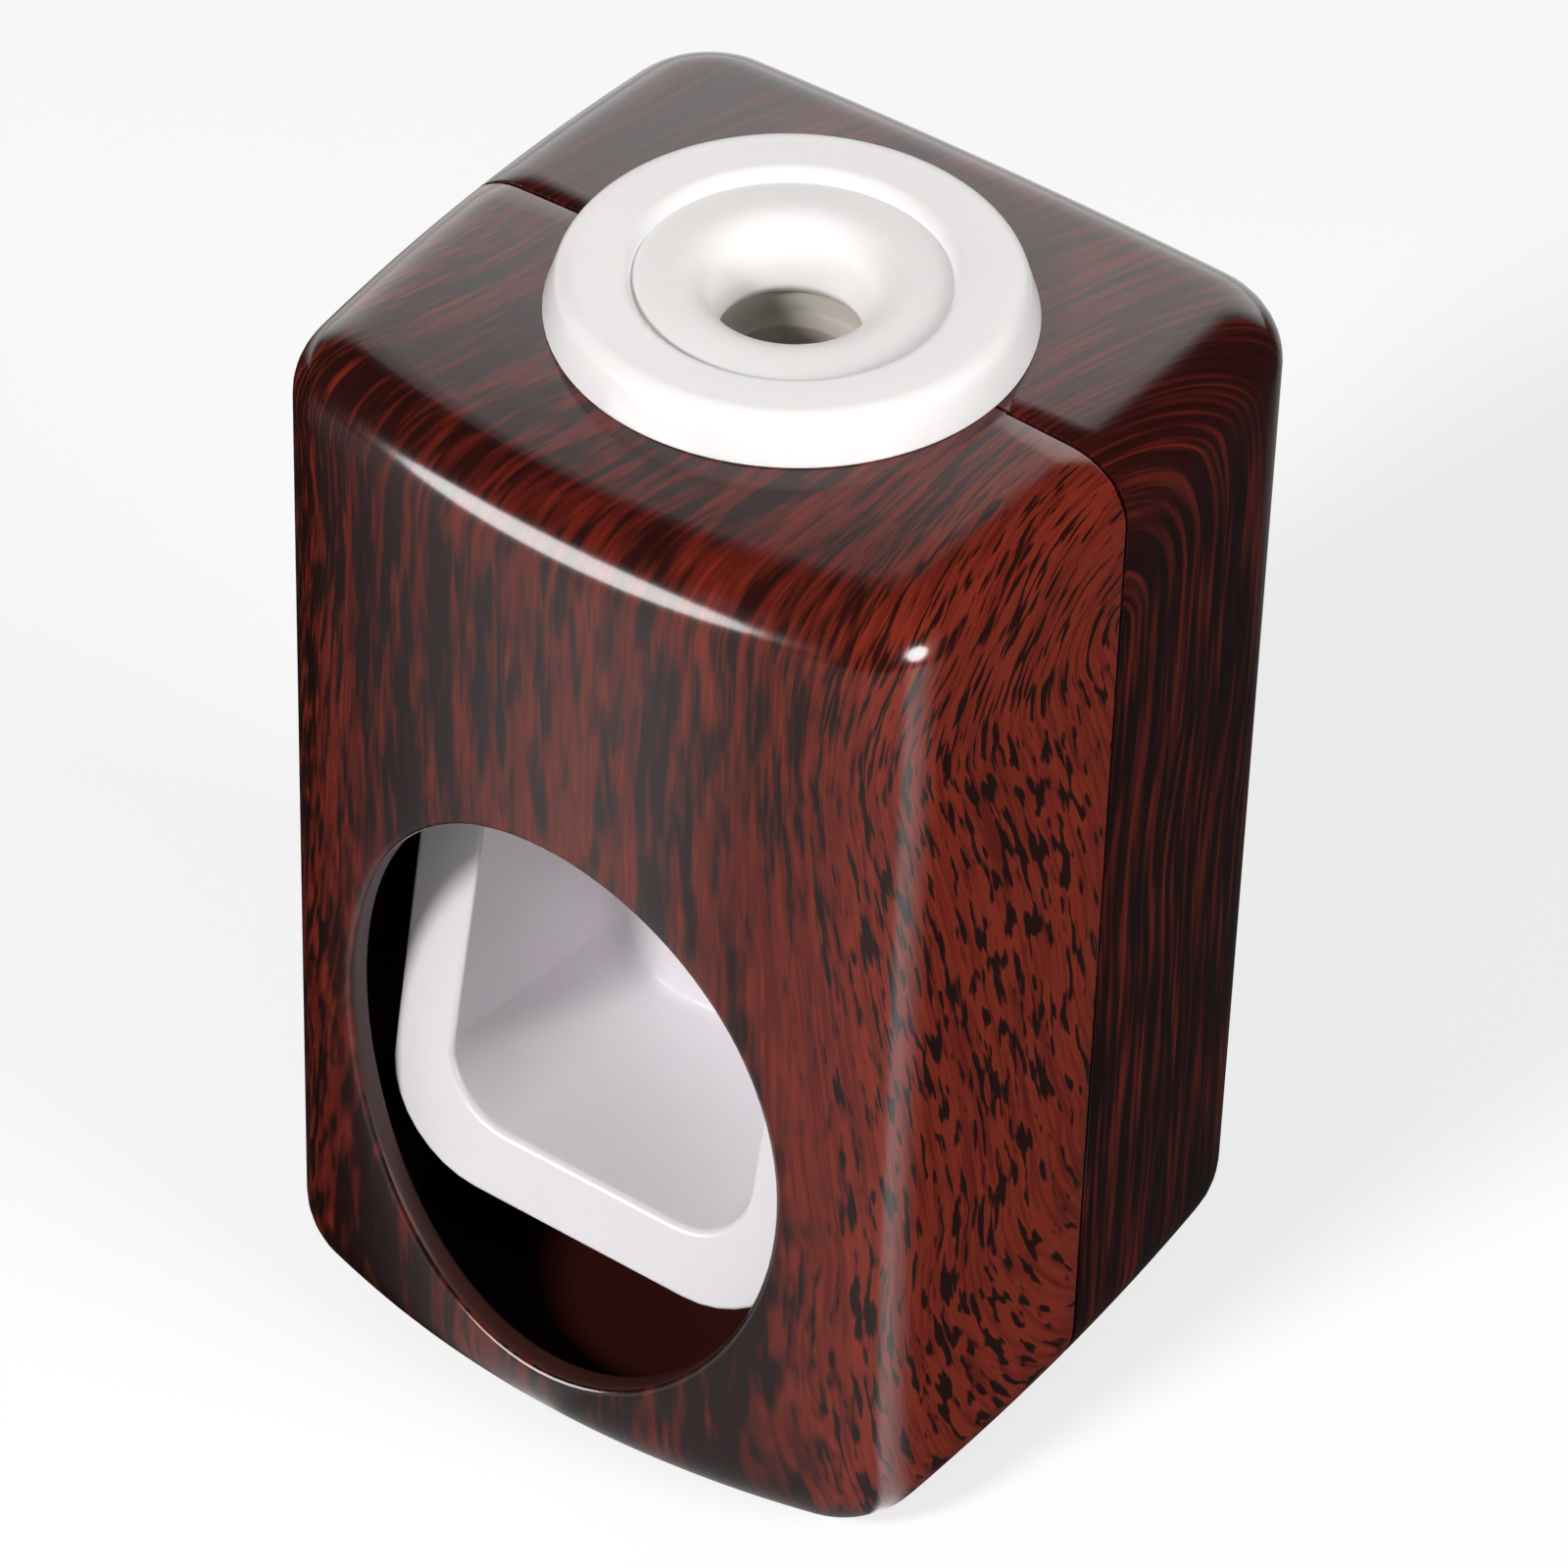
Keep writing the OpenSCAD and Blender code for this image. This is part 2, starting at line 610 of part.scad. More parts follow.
module nozzle_ring() {
    color("white") difference() {
        on_axis(ring_r, tip_z, shelf_z - frame_t - play);
        on_axis(nozzle_r + fit_gap / 2, tip_z + ring_lip_t, shelf_z);
        on_axis(nozzle_bore_r, tip_z - 1, tip_z + 3);
        for (a = [0:30:330])
            translate([0, seam_y, tip_z - 1]) rotate([0, 0, a])
                translate([ring_r + 0.3, 0, 0]) cylinder(h = shelf_z, r = 0.6, $fn = 16);
    }
}

// Frame that carries the collar, the pump, the spout and the pivot
module core_frame() {
    low_z = shelf_z - frame_t;
    hold_x = inner_x - play;
    half_plate = cheek_out_x;
    color([0.9, 0.9, 0.9]) difference() {
        union() {
            block(-half_plate, half_plate, seam_y - plate_y, seam_y + plate_y, plate_z, plate_top_z);
            on_axis(neck_r + nut_rim, plate_z, case_h - wall - top_drop(collar_r));
            block(-half_plate, half_plate, backbone_y, frame_back_y, low_z, holder_z);
            // Cheeks with the pin's bosses
            both_sides() along_x(cheek_x, cheek_out_x) union() {
                polygon([[frame_back_y, low_z], [frame_back_y, holder_z], [seam_y + plate_y, plate_z],
                    [seam_y + plate_y, plate_top_z], [seam_y - plate_y, plate_top_z],
                    [pivot_y - hub_r, pivot_z], [pivot_y - 1, pivot_z - hub_r + 0.2], [pivot_y + 2, pivot_z - hub_r]]);
                translate([pivot_y, pivot_z]) circle(r = hub_r);
            }
            // Holder under the bulb's flange
            on_axis(low_neck_r, holder_z - 2, holder_z);
            block(-hold_x, hold_x, seam_y, backbone_y + 1, holder_z - 2, holder_z);
            // Ledges that the springs' rear legs press up against
            both_sides() block(spring_x - 0.9, spring_x + 0.9, seam_y + 0.5, backbone_y + 1,
                pivot_z - coil_r + wire_d / 2 + play, holder_z - 1);
            // Shelf under the nozzle, with ribs
            block(-hold_x, hold_x, seam_y - nozzle_r - 3, backbone_y + 1, low_z, shelf_z);
            both_sides() along_x(nozzle_r + 2.9, nozzle_r + 4.1)
                polygon([[seam_y, shelf_z - 1], [backbone_y + 1, shelf_z - 1], [backbone_y + 1, shelf_z + nozzle_drop],
                    [backbone_y - 0.5, shelf_z + nozzle_drop]]);
            // Lugs behind the tails of the scoop's arms
            both_sides() block(rim_x - 2.6 * rest_t, cheek_x + 1, lug_y, lug_y + 3, pivot_z + hub_r, tail_z);
        }
        on_axis(hole_r, plate_z - 1, case_h);
        on_axis(bulb_r + play, holder_z - 3, holder_z + 1);
        on_axis(nozzle_r + fit_gap, low_z - 1, shelf_z + 1);
        rod_x(pin_r + run_gap, -pin_x, pin_x, pivot_y, pivot_z);
        both_sides() for (z = screw_zs) rod_y(screw_r + 0.15, backbone_y - 1, frame_back_y + 1, screw_x, z);
        // Window in the backbone behind the bulb
        block(-6, 6, backbone_y + frame_t / 2, frame_back_y + 1, shelf_z + 8, holder_z - 5);
    }
}

module frame_screws() {
    head_t = 1.6;
    color("silver") both_sides() for (z = screw_zs) difference() {
        union() {
            rod_y(head_r, backbone_y - head_t, backbone_y, screw_x, z);
            rod_y(screw_r, backbone_y - 0.5, backbone_y + screw_len, screw_x, z);
        }
        for (a = [0, 90])
            translate([screw_x, backbone_y - head_t, z]) rotate([0, a, 0]) cube([2.6, 1.6, 0.6], center = true);
    }
}

// Pivot
module pivot_pin() {
    groove_x = cheek_out_x + fit_gap;
    color("lightsteelblue") difference() {
        rod_x(pin_r, -pin_x, pin_x, pivot_y, pivot_z);
        both_sides() difference() {
            rod_x(pin_r + 1, groove_x, groove_x + 0.8, pivot_y, pivot_z);
            rod_x(pin_r - 0.35, groove_x - 1, groove_x + 2, pivot_y, pivot_z);
        }
    }
}

module pin_clips() {
    x0 = cheek_out_x + fit_gap + 0.05;
    x1 = x0 + 0.7;
    color("silver") both_sides() difference() {
        rod_x(pin_r + 1.6, x0, x1, pivot_y, pivot_z);
        rod_x(pin_r - 0.3, x0 - 1, x1 + 1, pivot_y, pivot_z);
        block(x0 - 1, x1 + 1, pivot_y - pin_r + 0.4, pivot_y + pin_r - 0.4, pivot_z - pin_r - 2, pivot_z);
        for (a = [60, 180, 300]) rod_x(0.5, x0 - 1, x1 + 1, pivot_y + (pin_r + 0.3) * cos(a - 30), pivot_z + (pin_r + 0.3) * sin(a - 30), $fn = 24);
    }
}

module pivot_bushes() {
    color([0.2, 0.2, 0.22]) both_sides() difference() {
        union() {
            rod_x(bush_r, hub_in_x, hub_out_x + 0.1, pivot_y, pivot_z);
            rod_x(bush_r + 1, hub_out_x, hub_out_x + bush_flange_t, pivot_y, pivot_z);
        }
        rod_x(pin_r + run_gap, hub_in_x - 1, cheek_x, pivot_y, pivot_z);
    }
}

module return_springs() {
    color("silver") both_sides() skin(wire_rings(spring_path, wire_d / 2));
}

// Stops
module rest_bumpers() {
    y0 = tail_back_y + play;
    color([0.2, 0.2, 0.22]) both_sides()
        block(rim_x - 2.4 * rest_t, rim_x - 0.2, y0, y0 + rest_t, pivot_z + hub_r + 0.3, tail_z - 0.3);
}

module travel_bumper() {
    stem_r = bumper_r * 0.3 - fit_gap / 2;
    foot = post_y - bumper_c.x;
    end = foot + bumper_r * 0.9;
    color([0.2, 0.2, 0.22]) translate([0, bumper_c.x, bumper_c.y]) rotate([-90, 0, 0]) rotate_extrude()
        polygon(concat(arc([0, 0], bumper_r, -90, 0, 8),
            [[bumper_r, foot], [stem_r, foot], [stem_r, end], [0, end]]));
}

module wall_pad() {
    color([0.85, 0.86, 0.88])
        rounded_plate(pad_w, pad_h, pad_corner_r, back_y - pad_t + pad_proud, back_y + pad_proud, case_h / 2);
}

// Scoop, its arms and its rim: one moulding
module push_cup() {
    hub_top_z = pivot_z;
    arm_back_y = min(arm_y + arm_d, cross_y + 1);
    color("white") difference() {
        union() {
            difference() {
                union() {
                    // Walls of the scoop, running up into the arms
                    intersection() {
                        skin(scoop_rings(rim_y - 1, back_out_y, scoop_wall, scoop_back_r + scoop_wall, hub_top_z + 2));
                        along_x(-rim_x, rim_x) polygon(concat(
                            [[rim_y, rim_z], [arm_y, arm_z], [pivot_y - hub_r, pivot_z], [pivot_y + hub_r, pivot_z],
                                [arm_back_y, arm_z + 4]],
                            arc([back_out_y - 4, back_top_z - 3], 4, 80, 0, 5) + [for (i = [0:5]) [0, -1]],
                            [[back_out_y, rim_z]]));
                    }
                    // Rim
                    intersection() {
                        along_y(rim_y - 1, back_out_y) polygon(concat([[-rim_x, pivot_z], [-rim_x, rim_z + rim_corner_r]],
                            arc([rim_corner_r - rim_x, rim_z + rim_corner_r], rim_corner_r, 180, 270, 8),
                            arc([rim_x - rim_corner_r, rim_z + rim_corner_r], rim_corner_r, 270, 360, 8), [[rim_x, pivot_z]]));
                        along_x(-rim_x, rim_x) polygon([[rim_y, rim_z - 1], [rim_y, rim_z], [arm_y, arm_z],
                            [pivot_y - hub_r, pivot_z], [pivot_y - hub_r + scoop_wall + 0.8, pivot_z], [arm_y + scoop_wall + 0.4, arm_z],
                            [rim_y + scoop_wall + 0.4, rim_z], [rim_y + scoop_wall + 0.4, rim_z - 1]]);
                    }
                }
                skin(scoop_rings(rim_y - 2, back_in_y, 0, scoop_back_r, pivot_z + 9));
            }
            // Hubs, spring sleeves and tails
            both_sides() {
                rod_x(hub_r, inner_x + 0.3, hub_out_x, pivot_y, pivot_z);
                rod_x(sleeve_r, hub_in_x, inner_x + 1, pivot_y, pivot_z);
                block(inner_x + 1, rim_x, pivot_y - 2.5, tail_back_y, pivot_z, tail_z);
            }
            // Cross plate that carries the press pad
            block(-inner_x - 0.8, inner_x + 0.8, cross_y - cross_t, cross_y, cross_z, cross_top_z);
        }
        both_sides() rod_x(bush_r + 0.02, hub_in_x - 1, hub_out_x + 1, pivot_y, pivot_z);
        for (z = pad_plug_zs) rod_y(plug_r, cross_y - cross_t - 1, cross_y + 1, 0, z);
    }
}

// Heights of the plugs that hold the press pad in the cross plate
pad_plug_zs = [cross_z + 2 * plug_r, cross_top_z - 2 * plug_r];

module press_pad() {
    face_y = seam_y - bulb_r - play;
    mid_z = (cross_z + cross_top_z) / 2;
    plate_back_y = cross_y - cross_t;
    color([0.25, 0.25, 0.27]) {
        rounded_plate(2 * bulb_r - plug_r, cross_top_z - cross_z - plug_r, plug_r, cross_y, face_y, mid_z);
        for (z = pad_plug_zs) {
            rod_y(plug_r - fit_gap / 2, plate_back_y - 0.2, cross_y + 0.5, 0, z);
            rod_y(plug_r * 1.35, plate_back_y - plug_r * 0.6, plate_back_y - 0.05, 0, z);
        }
    }
}

front_shell();
rear_shell();
inlet_collar();
inlet_gasket();
collar_nut();
core_frame();
valve_seat();
inlet_valve();
seal_ring();
pump_bulb();
bulb_clamp();
outlet_nozzle();
outlet_valve();
nozzle_ring();
pivot_pin();
pin_clips();
return_springs();
frame_screws();
rest_bumpers();
travel_bumper();
wall_pad();
push_cup();
press_pad();
pivot_bushes();
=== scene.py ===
"""Looks of a hands-free toothpaste dispenser in a wood-look casing.

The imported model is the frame. The casing shells, the collar and the gasket are modelled again with
their moulded roundings. The other pieces are copies of their solids with smooth surfaces and
softened edges, and the scoop's copy takes the mouth's width and height seen in the photo.
"""

import math

import bmesh
import bpy
from mathutils import Matrix, Vector


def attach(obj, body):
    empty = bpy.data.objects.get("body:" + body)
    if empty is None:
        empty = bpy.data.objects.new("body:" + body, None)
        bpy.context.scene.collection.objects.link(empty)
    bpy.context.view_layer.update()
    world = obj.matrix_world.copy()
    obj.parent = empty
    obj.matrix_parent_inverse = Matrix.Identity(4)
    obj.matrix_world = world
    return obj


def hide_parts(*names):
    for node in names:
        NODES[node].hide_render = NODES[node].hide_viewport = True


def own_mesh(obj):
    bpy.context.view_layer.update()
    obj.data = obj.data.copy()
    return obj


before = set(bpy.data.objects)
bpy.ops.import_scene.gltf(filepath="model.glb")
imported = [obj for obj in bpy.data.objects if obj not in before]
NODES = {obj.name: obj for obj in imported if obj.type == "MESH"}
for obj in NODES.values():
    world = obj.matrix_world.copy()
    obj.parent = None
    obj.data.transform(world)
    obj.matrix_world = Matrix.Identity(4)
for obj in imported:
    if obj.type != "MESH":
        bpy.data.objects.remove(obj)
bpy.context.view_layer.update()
MM = 0.001

# Sizes of the casing in millimetres, as in the part's source
HALF_W = 30.0
SIDE_BULGE = 0.7
FRONT_BULGE = 3.0
CORNER_R = 8.0
CORNER_X = HALF_W - SIDE_BULGE - CORNER_R
SEAM_Y = 1.25
CORNER_D = 27.0 - CORNER_R
CASE_H = 94.0
TOP_CROWN = 0.8
TOP_EDGE_R = 5.0
BASE_EDGE_R = 7.0
WALL = 2.2
SEAM_GAP = 0.3
OPENING_A, OPENING_B, OPENING_Z = 20.0, 27.0, 35.0
COLLAR_R = 18.4
HOLE_R = 13.2


def mix(a, b, t):
    return a + (b - a) * t


def share_between(value, low, high):
    """0 at low and 1 at high, and no less or more beyond them."""
    return min(max((value - low) / (high - low), 0.0), 1.0)


# Shader nodes


def put(tree, kind, sockets=(), **settings):
    """A node with its settings, and its sockets set to a value or linked to another socket."""
    node = tree.nodes.new(kind)
    for name, value in settings.items():
        setattr(node, name, value)
    for key, value in dict(sockets).items():
        if isinstance(value, bpy.types.NodeSocket):
            tree.links.new(value, node.inputs[key])
        else:
            node.inputs[key].default_value = value
    return node


def calc(tree, operation, *values):
    return put(tree, "ShaderNodeMath", enumerate(values), operation=operation).outputs[0]


def over(tree, a, b):
    """How far a is above b, or 0."""
    return calc(tree, "MAXIMUM", calc(tree, "SUBTRACT", a, b), 0.0)


def diagonal(tree, a, b):
    squares = calc(tree, "ADD", calc(tree, "POWER", a, 2.0), calc(tree, "POWER", b, 2.0))
    return calc(tree, "SQRT", squares)


def vector_calc(tree, operation, sockets):
    return put(tree, "ShaderNodeVectorMath", sockets, operation=operation).outputs[0]


def ramp_between(tree, value, low, high):
    """0 below low, 1 above high, with a smooth rise."""
    node = put(
        tree,
        "ShaderNodeMapRange",
        {0: value, 1: low, 2: high, 3: 0.0, 4: 1.0},
        interpolation_type="SMOOTHSTEP",
    )
    return node.outputs[0]


def blend_colours(tree, share, a, b):
    node = put(tree, "ShaderNodeMix", data_type="RGBA")
    for key, value in ((0, share), (6, a), (7, b)):
        if isinstance(value, bpy.types.NodeSocket):
            tree.links.new(value, node.inputs[key])
        else:
            node.inputs[key].default_value = value if key == 0 else (*value, 1.0)
    return node.outputs[2]


def noise(tree, vector, detail=2.0, roughness=0.5, distortion=0.0, part=0, scale=1.0):
    look = {"Scale": scale, "Detail": detail, "Roughness": roughness, "Distortion": distortion}
    return put(tree, "ShaderNodeTexNoise", {"Vector": vector, **look}).outputs[part]


def point(tree, x, y, z):
    return put(tree, "ShaderNodeCombineXYZ", {0: x, 1: y, 2: z}).outputs[0]


def new_finish(name, **sockets):
    """A material with these constants on its Principled shader; returns its tree and shader too."""
    material = bpy.data.materials.new(name)
    material.use_nodes = True
    tree = material.node_tree
    shader = tree.nodes["Principled BSDF"]
    for key, value in sockets.items():
        is_colour = isinstance(value, tuple) and len(value) == 3
        shader.inputs[key.replace("_", " ")].default_value = (*value, 1.0) if is_colour else value
    return material, tree, shader


def millimetres(tree):
    place = put(tree, "ShaderNodeTexCoord").outputs["Object"]
    return vector_calc(tree, "SCALE", {0: place, 3: 1 / MM})


def blend_values(tree, share, a, b):
    return put(tree, "ShaderNodeMix", {0: share, 2: a, 3: b}).outputs[0]


def seen_directly(tree, path):
    """1 for what the camera sees itself or through clear material."""
    return calc(tree, "MAXIMUM", path.outputs["Is Camera Ray"], path.outputs["Is Transmission Ray"])


def bump(tree, shader, height, distance, strength):
    made = put(tree, "ShaderNodeBump", {"Strength": strength, "Distance": distance, "Height": height})
    tree.links.new(made.outputs[0], shader.inputs["Normal"])


# Wood print. Its lines run up the front, fan over the top and turn in arcs on the sides

PRINT_WAVE = 34.0
SIDE_PRINT_X = 14.0
SLANT_FROM_Y = -26.0
LOW_WIDENING = 0.5
LEFT_SHADE_X = 26.0
SEAM_STRIP_Y = (-9.0, 1.0)
TOP_PRINT_Z = (80.0, 92.0)
SIDE_CALM = 0.85
WARM_FROM, WARM_TO = 0.68, 1.15
PRINT_BUMP, PRINT_RIPPLE = 0.00002, 2.2


def wavy(tree, p, amount):
    """Place p, moved about by a slow wave of this many millimetres."""
    wave = noise(tree, p, detail=1.0, part=1, scale=1 / PRINT_WAVE)
    wave = vector_calc(tree, "SUBTRACT", {0: wave, 1: (0.5, 0.5, 0.5)})
    wave = vector_calc(tree, "SCALE", {0: wave, 3: amount})
    return vector_calc(tree, "ADD", {0: p, 1: wave})


def grain_across(tree, x, y, z, outward, flow):
    """Distance across the grain. outward is 0 on the front, and -1 or 1 on the left or right side."""
    slant = calc(tree, "MULTIPLY_ADD", x, flow["fan"], flow["slant"])
    leaning = calc(tree, "MULTIPLY", slant, calc(tree, "SUBTRACT", y, SLANT_FROM_Y))
    across = calc(tree, "SUBTRACT", x, leaning)
    below = over(tree, flow["tilt_below"], calc(tree, "MAXIMUM", z, flow["turn_low"]))
    axis_y = calc(tree, "MULTIPLY_ADD", below, flow["tilt"], flow["axis_y"])
    from_axis = calc(tree, "SUBTRACT", y, axis_y)
    low_turn = calc(tree, "MULTIPLY", over(tree, flow["turn_low"], z), flow["low_rate"])
    high_turn = calc(tree, "MULTIPLY", over(tree, z, flow["turn_high"]), flow["high_rate"])
    reach = diagonal(tree, from_axis, calc(tree, "ADD", low_turn, high_turn))
    low_square = calc(tree, "POWER", low_turn, 2.0)
    full_reach = calc(tree, "MULTIPLY_ADD", low_square, LOW_WIDENING, flow["reach"] ** 2)
    full_reach = calc(tree, "SQRT", full_reach)
    arc = calc(tree, "MULTIPLY", calc(tree, "SUBTRACT", full_reach, reach), flow["side"])
    return calc(tree, "ADD", across, calc(tree, "MULTIPLY", arc, outward))


def calmer_on_side(tree, side, share):
    return calc(tree, "MULTIPLY_ADD", side, -SIDE_CALM * share, share)


def wood_print(name, red, orange, dark, flow, marks):
    """Glossy wood-grain print in dashes, fibres, streaks and bands of dark on a red and orange ground."""
    material, tree, shader = new_finish(name, Roughness=0.16, IOR=1.5, Coat_Weight=0.2, Coat_Roughness=0.08)
    p = millimetres(tree)
    x, y, z = put(tree, "ShaderNodeSeparateXYZ", {0: wavy(tree, p, flow["wave"])}).outputs
    true_x = put(tree, "ShaderNodeSeparateXYZ", {0: p}).outputs[0]
    side = ramp_between(tree, calc(tree, "ABSOLUTE", true_x), SIDE_PRINT_X, HALF_W)
    top = ramp_between(tree, z, *TOP_PRINT_Z)
    outward = calc(tree, "MULTIPLY", side, calc(tree, "SIGN", true_x))
    across = grain_across(tree, x, y, z, outward, flow)

    def lines(size, **look):
        """Noise drawn out along the grain, from its width and length in millimetres."""
        width, length = size
        parts = ((across, width), (y, length), (z, length))
        return noise(tree, point(tree, *(calc(tree, "DIVIDE", a, b) for a, b in parts)), **look)

    dashes = lines(marks["dashes"], detail=1.5, distortion=0.1)
    side_dashes = lines(marks["side_dashes"], detail=1.0, distortion=0.1)
    to_side = calc(tree, "MULTIPLY", side, calc(tree, "SUBTRACT", side_dashes, dashes))
    fibres = lines(marks["fibres"], detail=1.0)
    streaks = lines(marks["streaks"], detail=2.0, roughness=0.55, distortion=0.15)
    layers = (
        (calc(tree, "ADD", dashes, to_side), marks["dash_share"]),
        (fibres, marks["fibre_share"]),
        (streaks, calmer_on_side(tree, side, marks["streak_share"])),
        (lines(marks["bands"], detail=1.0), calmer_on_side(tree, side, marks["band_share"])),
    )
    to_left = ramp_between(tree, calc(tree, "MULTIPLY", x, -1.0), 0.0, LEFT_SHADE_X)
    level = calc(tree, "MULTIPLY", to_left, marks["left_dark"])
    seam_strip = calc(tree, "MULTIPLY", side, ramp_between(tree, y, *SEAM_STRIP_Y))
    level = calc(tree, "MULTIPLY_ADD", seam_strip, -marks["seam_clear"], level)
    for layer, share in layers:
        level = calc(tree, "MULTIPLY_ADD", calc(tree, "SUBTRACT", layer, 0.5), share, level)
    start = calc(tree, "MULTIPLY_ADD", side, marks["start_side"], marks["start"])
    end = calc(tree, "MULTIPLY_ADD", side, marks["end_side"], marks["end"])
    top_share = calc(tree, "MULTIPLY_ADD", top, -marks["top_faint"], 1.0)
    shade = calc(tree, "MULTIPLY", ramp_between(tree, level, start, end), top_share)

    lift = calc(tree, "MULTIPLY", calc(tree, "MULTIPLY_ADD", top, 0.3, side), 0.1)
    warm = calc(tree, "ADD", fibres, calc(tree, "MULTIPLY_ADD", streaks, 0.8, lift))
    ground = blend_colours(tree, ramp_between(tree, warm, WARM_FROM, WARM_TO), red, orange)
    tree.links.new(blend_colours(tree, shade, ground, dark), shader.inputs["Base Color"])
    ripple = noise(tree, p, scale=1 / PRINT_RIPPLE)
    bump(tree, shader, calc(tree, "MULTIPLY_ADD", shade, -0.25, ripple), PRINT_BUMP, 0.35)
    return material


# Millimetres. On the sides the lines arc about axis_y, which tilts back below tilt_below. The arcs
# close in under turn_low and over turn_high
FRONT_FLOW = {
    "wave": 3.2,
    "fan": -0.006,
    "slant": 0.22,
    "side": 0.8,
    "reach": 36.0,
    "axis_y": 2.0,
    "tilt": 0.3,
    "tilt_below": 78.0,
    "turn_low": 32.0,
    "low_rate": 1.14,
    "turn_high": 79.0,
    "high_rate": 1.25,
}
REAR_FLOW = dict(
    FRONT_FLOW, slant=0.45, reach=28.0, axis_y=0.0, tilt=0.0, turn_low=0.0, turn_high=78.0, high_rate=1.0
)
# Each layer has its marks' width and length, and its share in the dark. The dark sets in from start
# to end, moved by start_side and end_side on the sides
FRONT_MARKS = {
    "dashes": (0.8, 6.0),
    "side_dashes": (0.6, 3.6),
    "dash_share": 1.1,
    "fibres": (0.34, 9.0),
    "fibre_share": 0.42,
    "streaks": (1.8, 19.0),
    "streak_share": 1.15,
    "bands": (5.5, 45.0),
    "band_share": 0.8,
    "left_dark": 0.09,
    "seam_clear": 0.08,
    "start": -0.3,
    "start_side": 0.31,
    "end": 0.2,
    "end_side": -0.08,
    "top_faint": 0.05,
}
REAR_MARKS = dict(
    FRONT_MARKS,
    dashes=(0.8, 13.0),
    side_dashes=(0.8, 13.0),
    fibres=(0.34, 18.0),
    streaks=(1.9, 28.0),
    bands=(5.5, 60.0),
    left_dark=0.0,
    seam_clear=0.0,
    start=-0.28,
    start_side=-0.22,
    end=0.2,
    end_side=-0.12,
    top_faint=0.1,
)

wood_front = wood_print(
    "wood_print_front",
    red=(0.095, 0.0085, 0.0055),
    orange=(0.182, 0.021, 0.010),
    dark=(0.0135, 0.0035, 0.003),
    flow=FRONT_FLOW,
    marks=FRONT_MARKS,
)
wood_rear = wood_print(
    "wood_print_rear",
    red=(0.08, 0.008, 0.006),
    orange=(0.15, 0.017, 0.010),
    dark=(0.0085, 0.0025, 0.0025),
    flow=REAR_FLOW,
    marks=REAR_MARKS,
)


# Plain finishes


CLOUD_SIZE, GRAIN_SIZE = 9, 0.8


def plain_plastic(name, colour, roughness, mottle=0.02, grain=0.00001, **more):
    """Moulded plastic or rubber with a faint unevenness of tone and surface."""
    material, tree, shader = new_finish(name, Roughness=roughness, IOR=1.5, **more)
    p = millimetres(tree)
    cloud = noise(tree, p, scale=1 / CLOUD_SIZE)
    darker = tuple(c * (1 - 2 * mottle) for c in colour)
    tree.links.new(blend_colours(tree, cloud, darker, colour), shader.inputs["Base Color"])
    bump(tree, shader, noise(tree, p, detail=3.0, scale=1 / GRAIN_SIZE), grain, 0.3)
    return material


def throat_shade(material, dark_z, clear_z, colour):
    """Darkens the silicone below its lip, where the throat's tight walls keep the light out."""
    tree = material.node_tree
    shader = tree.nodes["Principled BSDF"]
    surface = shader.inputs["Base Color"].links[0].from_socket
    height = put(tree, "ShaderNodeSeparateXYZ", {0: millimetres(tree)}).outputs[2]
    below = calc(tree, "SUBTRACT", 1.0, ramp_between(tree, height, dark_z, clear_z))
    tree.links.new(blend_colours(tree, below, surface, colour), shader.inputs["Base Color"])


casing_inside = plain_plastic("casing_inside", (0.042, 0.009, 0.006), 0.5)
white_gloss = plain_plastic(
    "white_gloss", (0.92, 0.885, 0.88), 0.22, Subsurface_Weight=0.08, Subsurface_Scale=0.002
)
scoop_white = plain_plastic(
    "scoop_white", (0.82, 0.78, 0.81), 0.3, Subsurface_Weight=0.06, Subsurface_Scale=0.002
)
frame_plastic = plain_plastic("frame_plastic", (0.60, 0.60, 0.60), 0.45)
milky_silicone = plain_plastic(
    "milky_silicone", (0.91, 0.87, 0.86), 0.45, Subsurface_Weight=0.12, Subsurface_Scale=0.002
)
throat_shade(milky_silicone, 90.8, 91.7, (0.52, 0.48, 0.43))
clear_silicone = plain_plastic(
    "clear_silicone", (0.62, 0.62, 0.58), 0.3, Subsurface_Weight=0.4, Subsurface_Scale=0.003
)
dark_rubber = plain_plastic("dark_rubber", (0.022, 0.022, 0.024), 0.65, mottle=0.1, grain=0.00003)
bush_plastic = plain_plastic("bush_plastic", (0.03, 0.03, 0.033), 0.4)
foam = plain_plastic("foam", (0.45, 0.46, 0.47), 0.9, mottle=0.08, grain=0.0002)


def brushed_steel():
    """Bright zinc-plated steel, brushed along its length."""
    material, tree, shader = new_finish(
        "steel", Metallic=1.0, Base_Color=(0.60, 0.60, 0.61), Roughness=0.3
    )
    brushed = put(tree, "ShaderNodeMapping", {"Vector": millimetres(tree), "Scale": (0.4, 9.0, 9.0)})
    bump(tree, shader, noise(tree, brushed.outputs[0]), 0.000005, 0.5)
    return material


steel = brushed_steel()


# Pieces


MOULDED_SHARP, COPY_SHARP = 35.0, 32.0
FLAT_WITHIN = math.radians(0.5)
COPY_MERGE = 0.002


def finish_piece(bm, name, body, material, sharp, replaces):
    """Makes the mesh an object that rides on a body, smooth but for edges sharper than this angle."""
    mesh = bpy.data.meshes.new(name)
    bm.to_mesh(mesh)
    bm.free()
    mesh.shade_smooth()
    mesh.set_sharp_from_angle(angle=math.radians(sharp))
    mesh.materials.append(material)
    piece = bpy.data.objects.new(name, mesh)
    bpy.context.scene.collection.objects.link(piece)
    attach(piece, body)
    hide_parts(*replaces)
    return piece


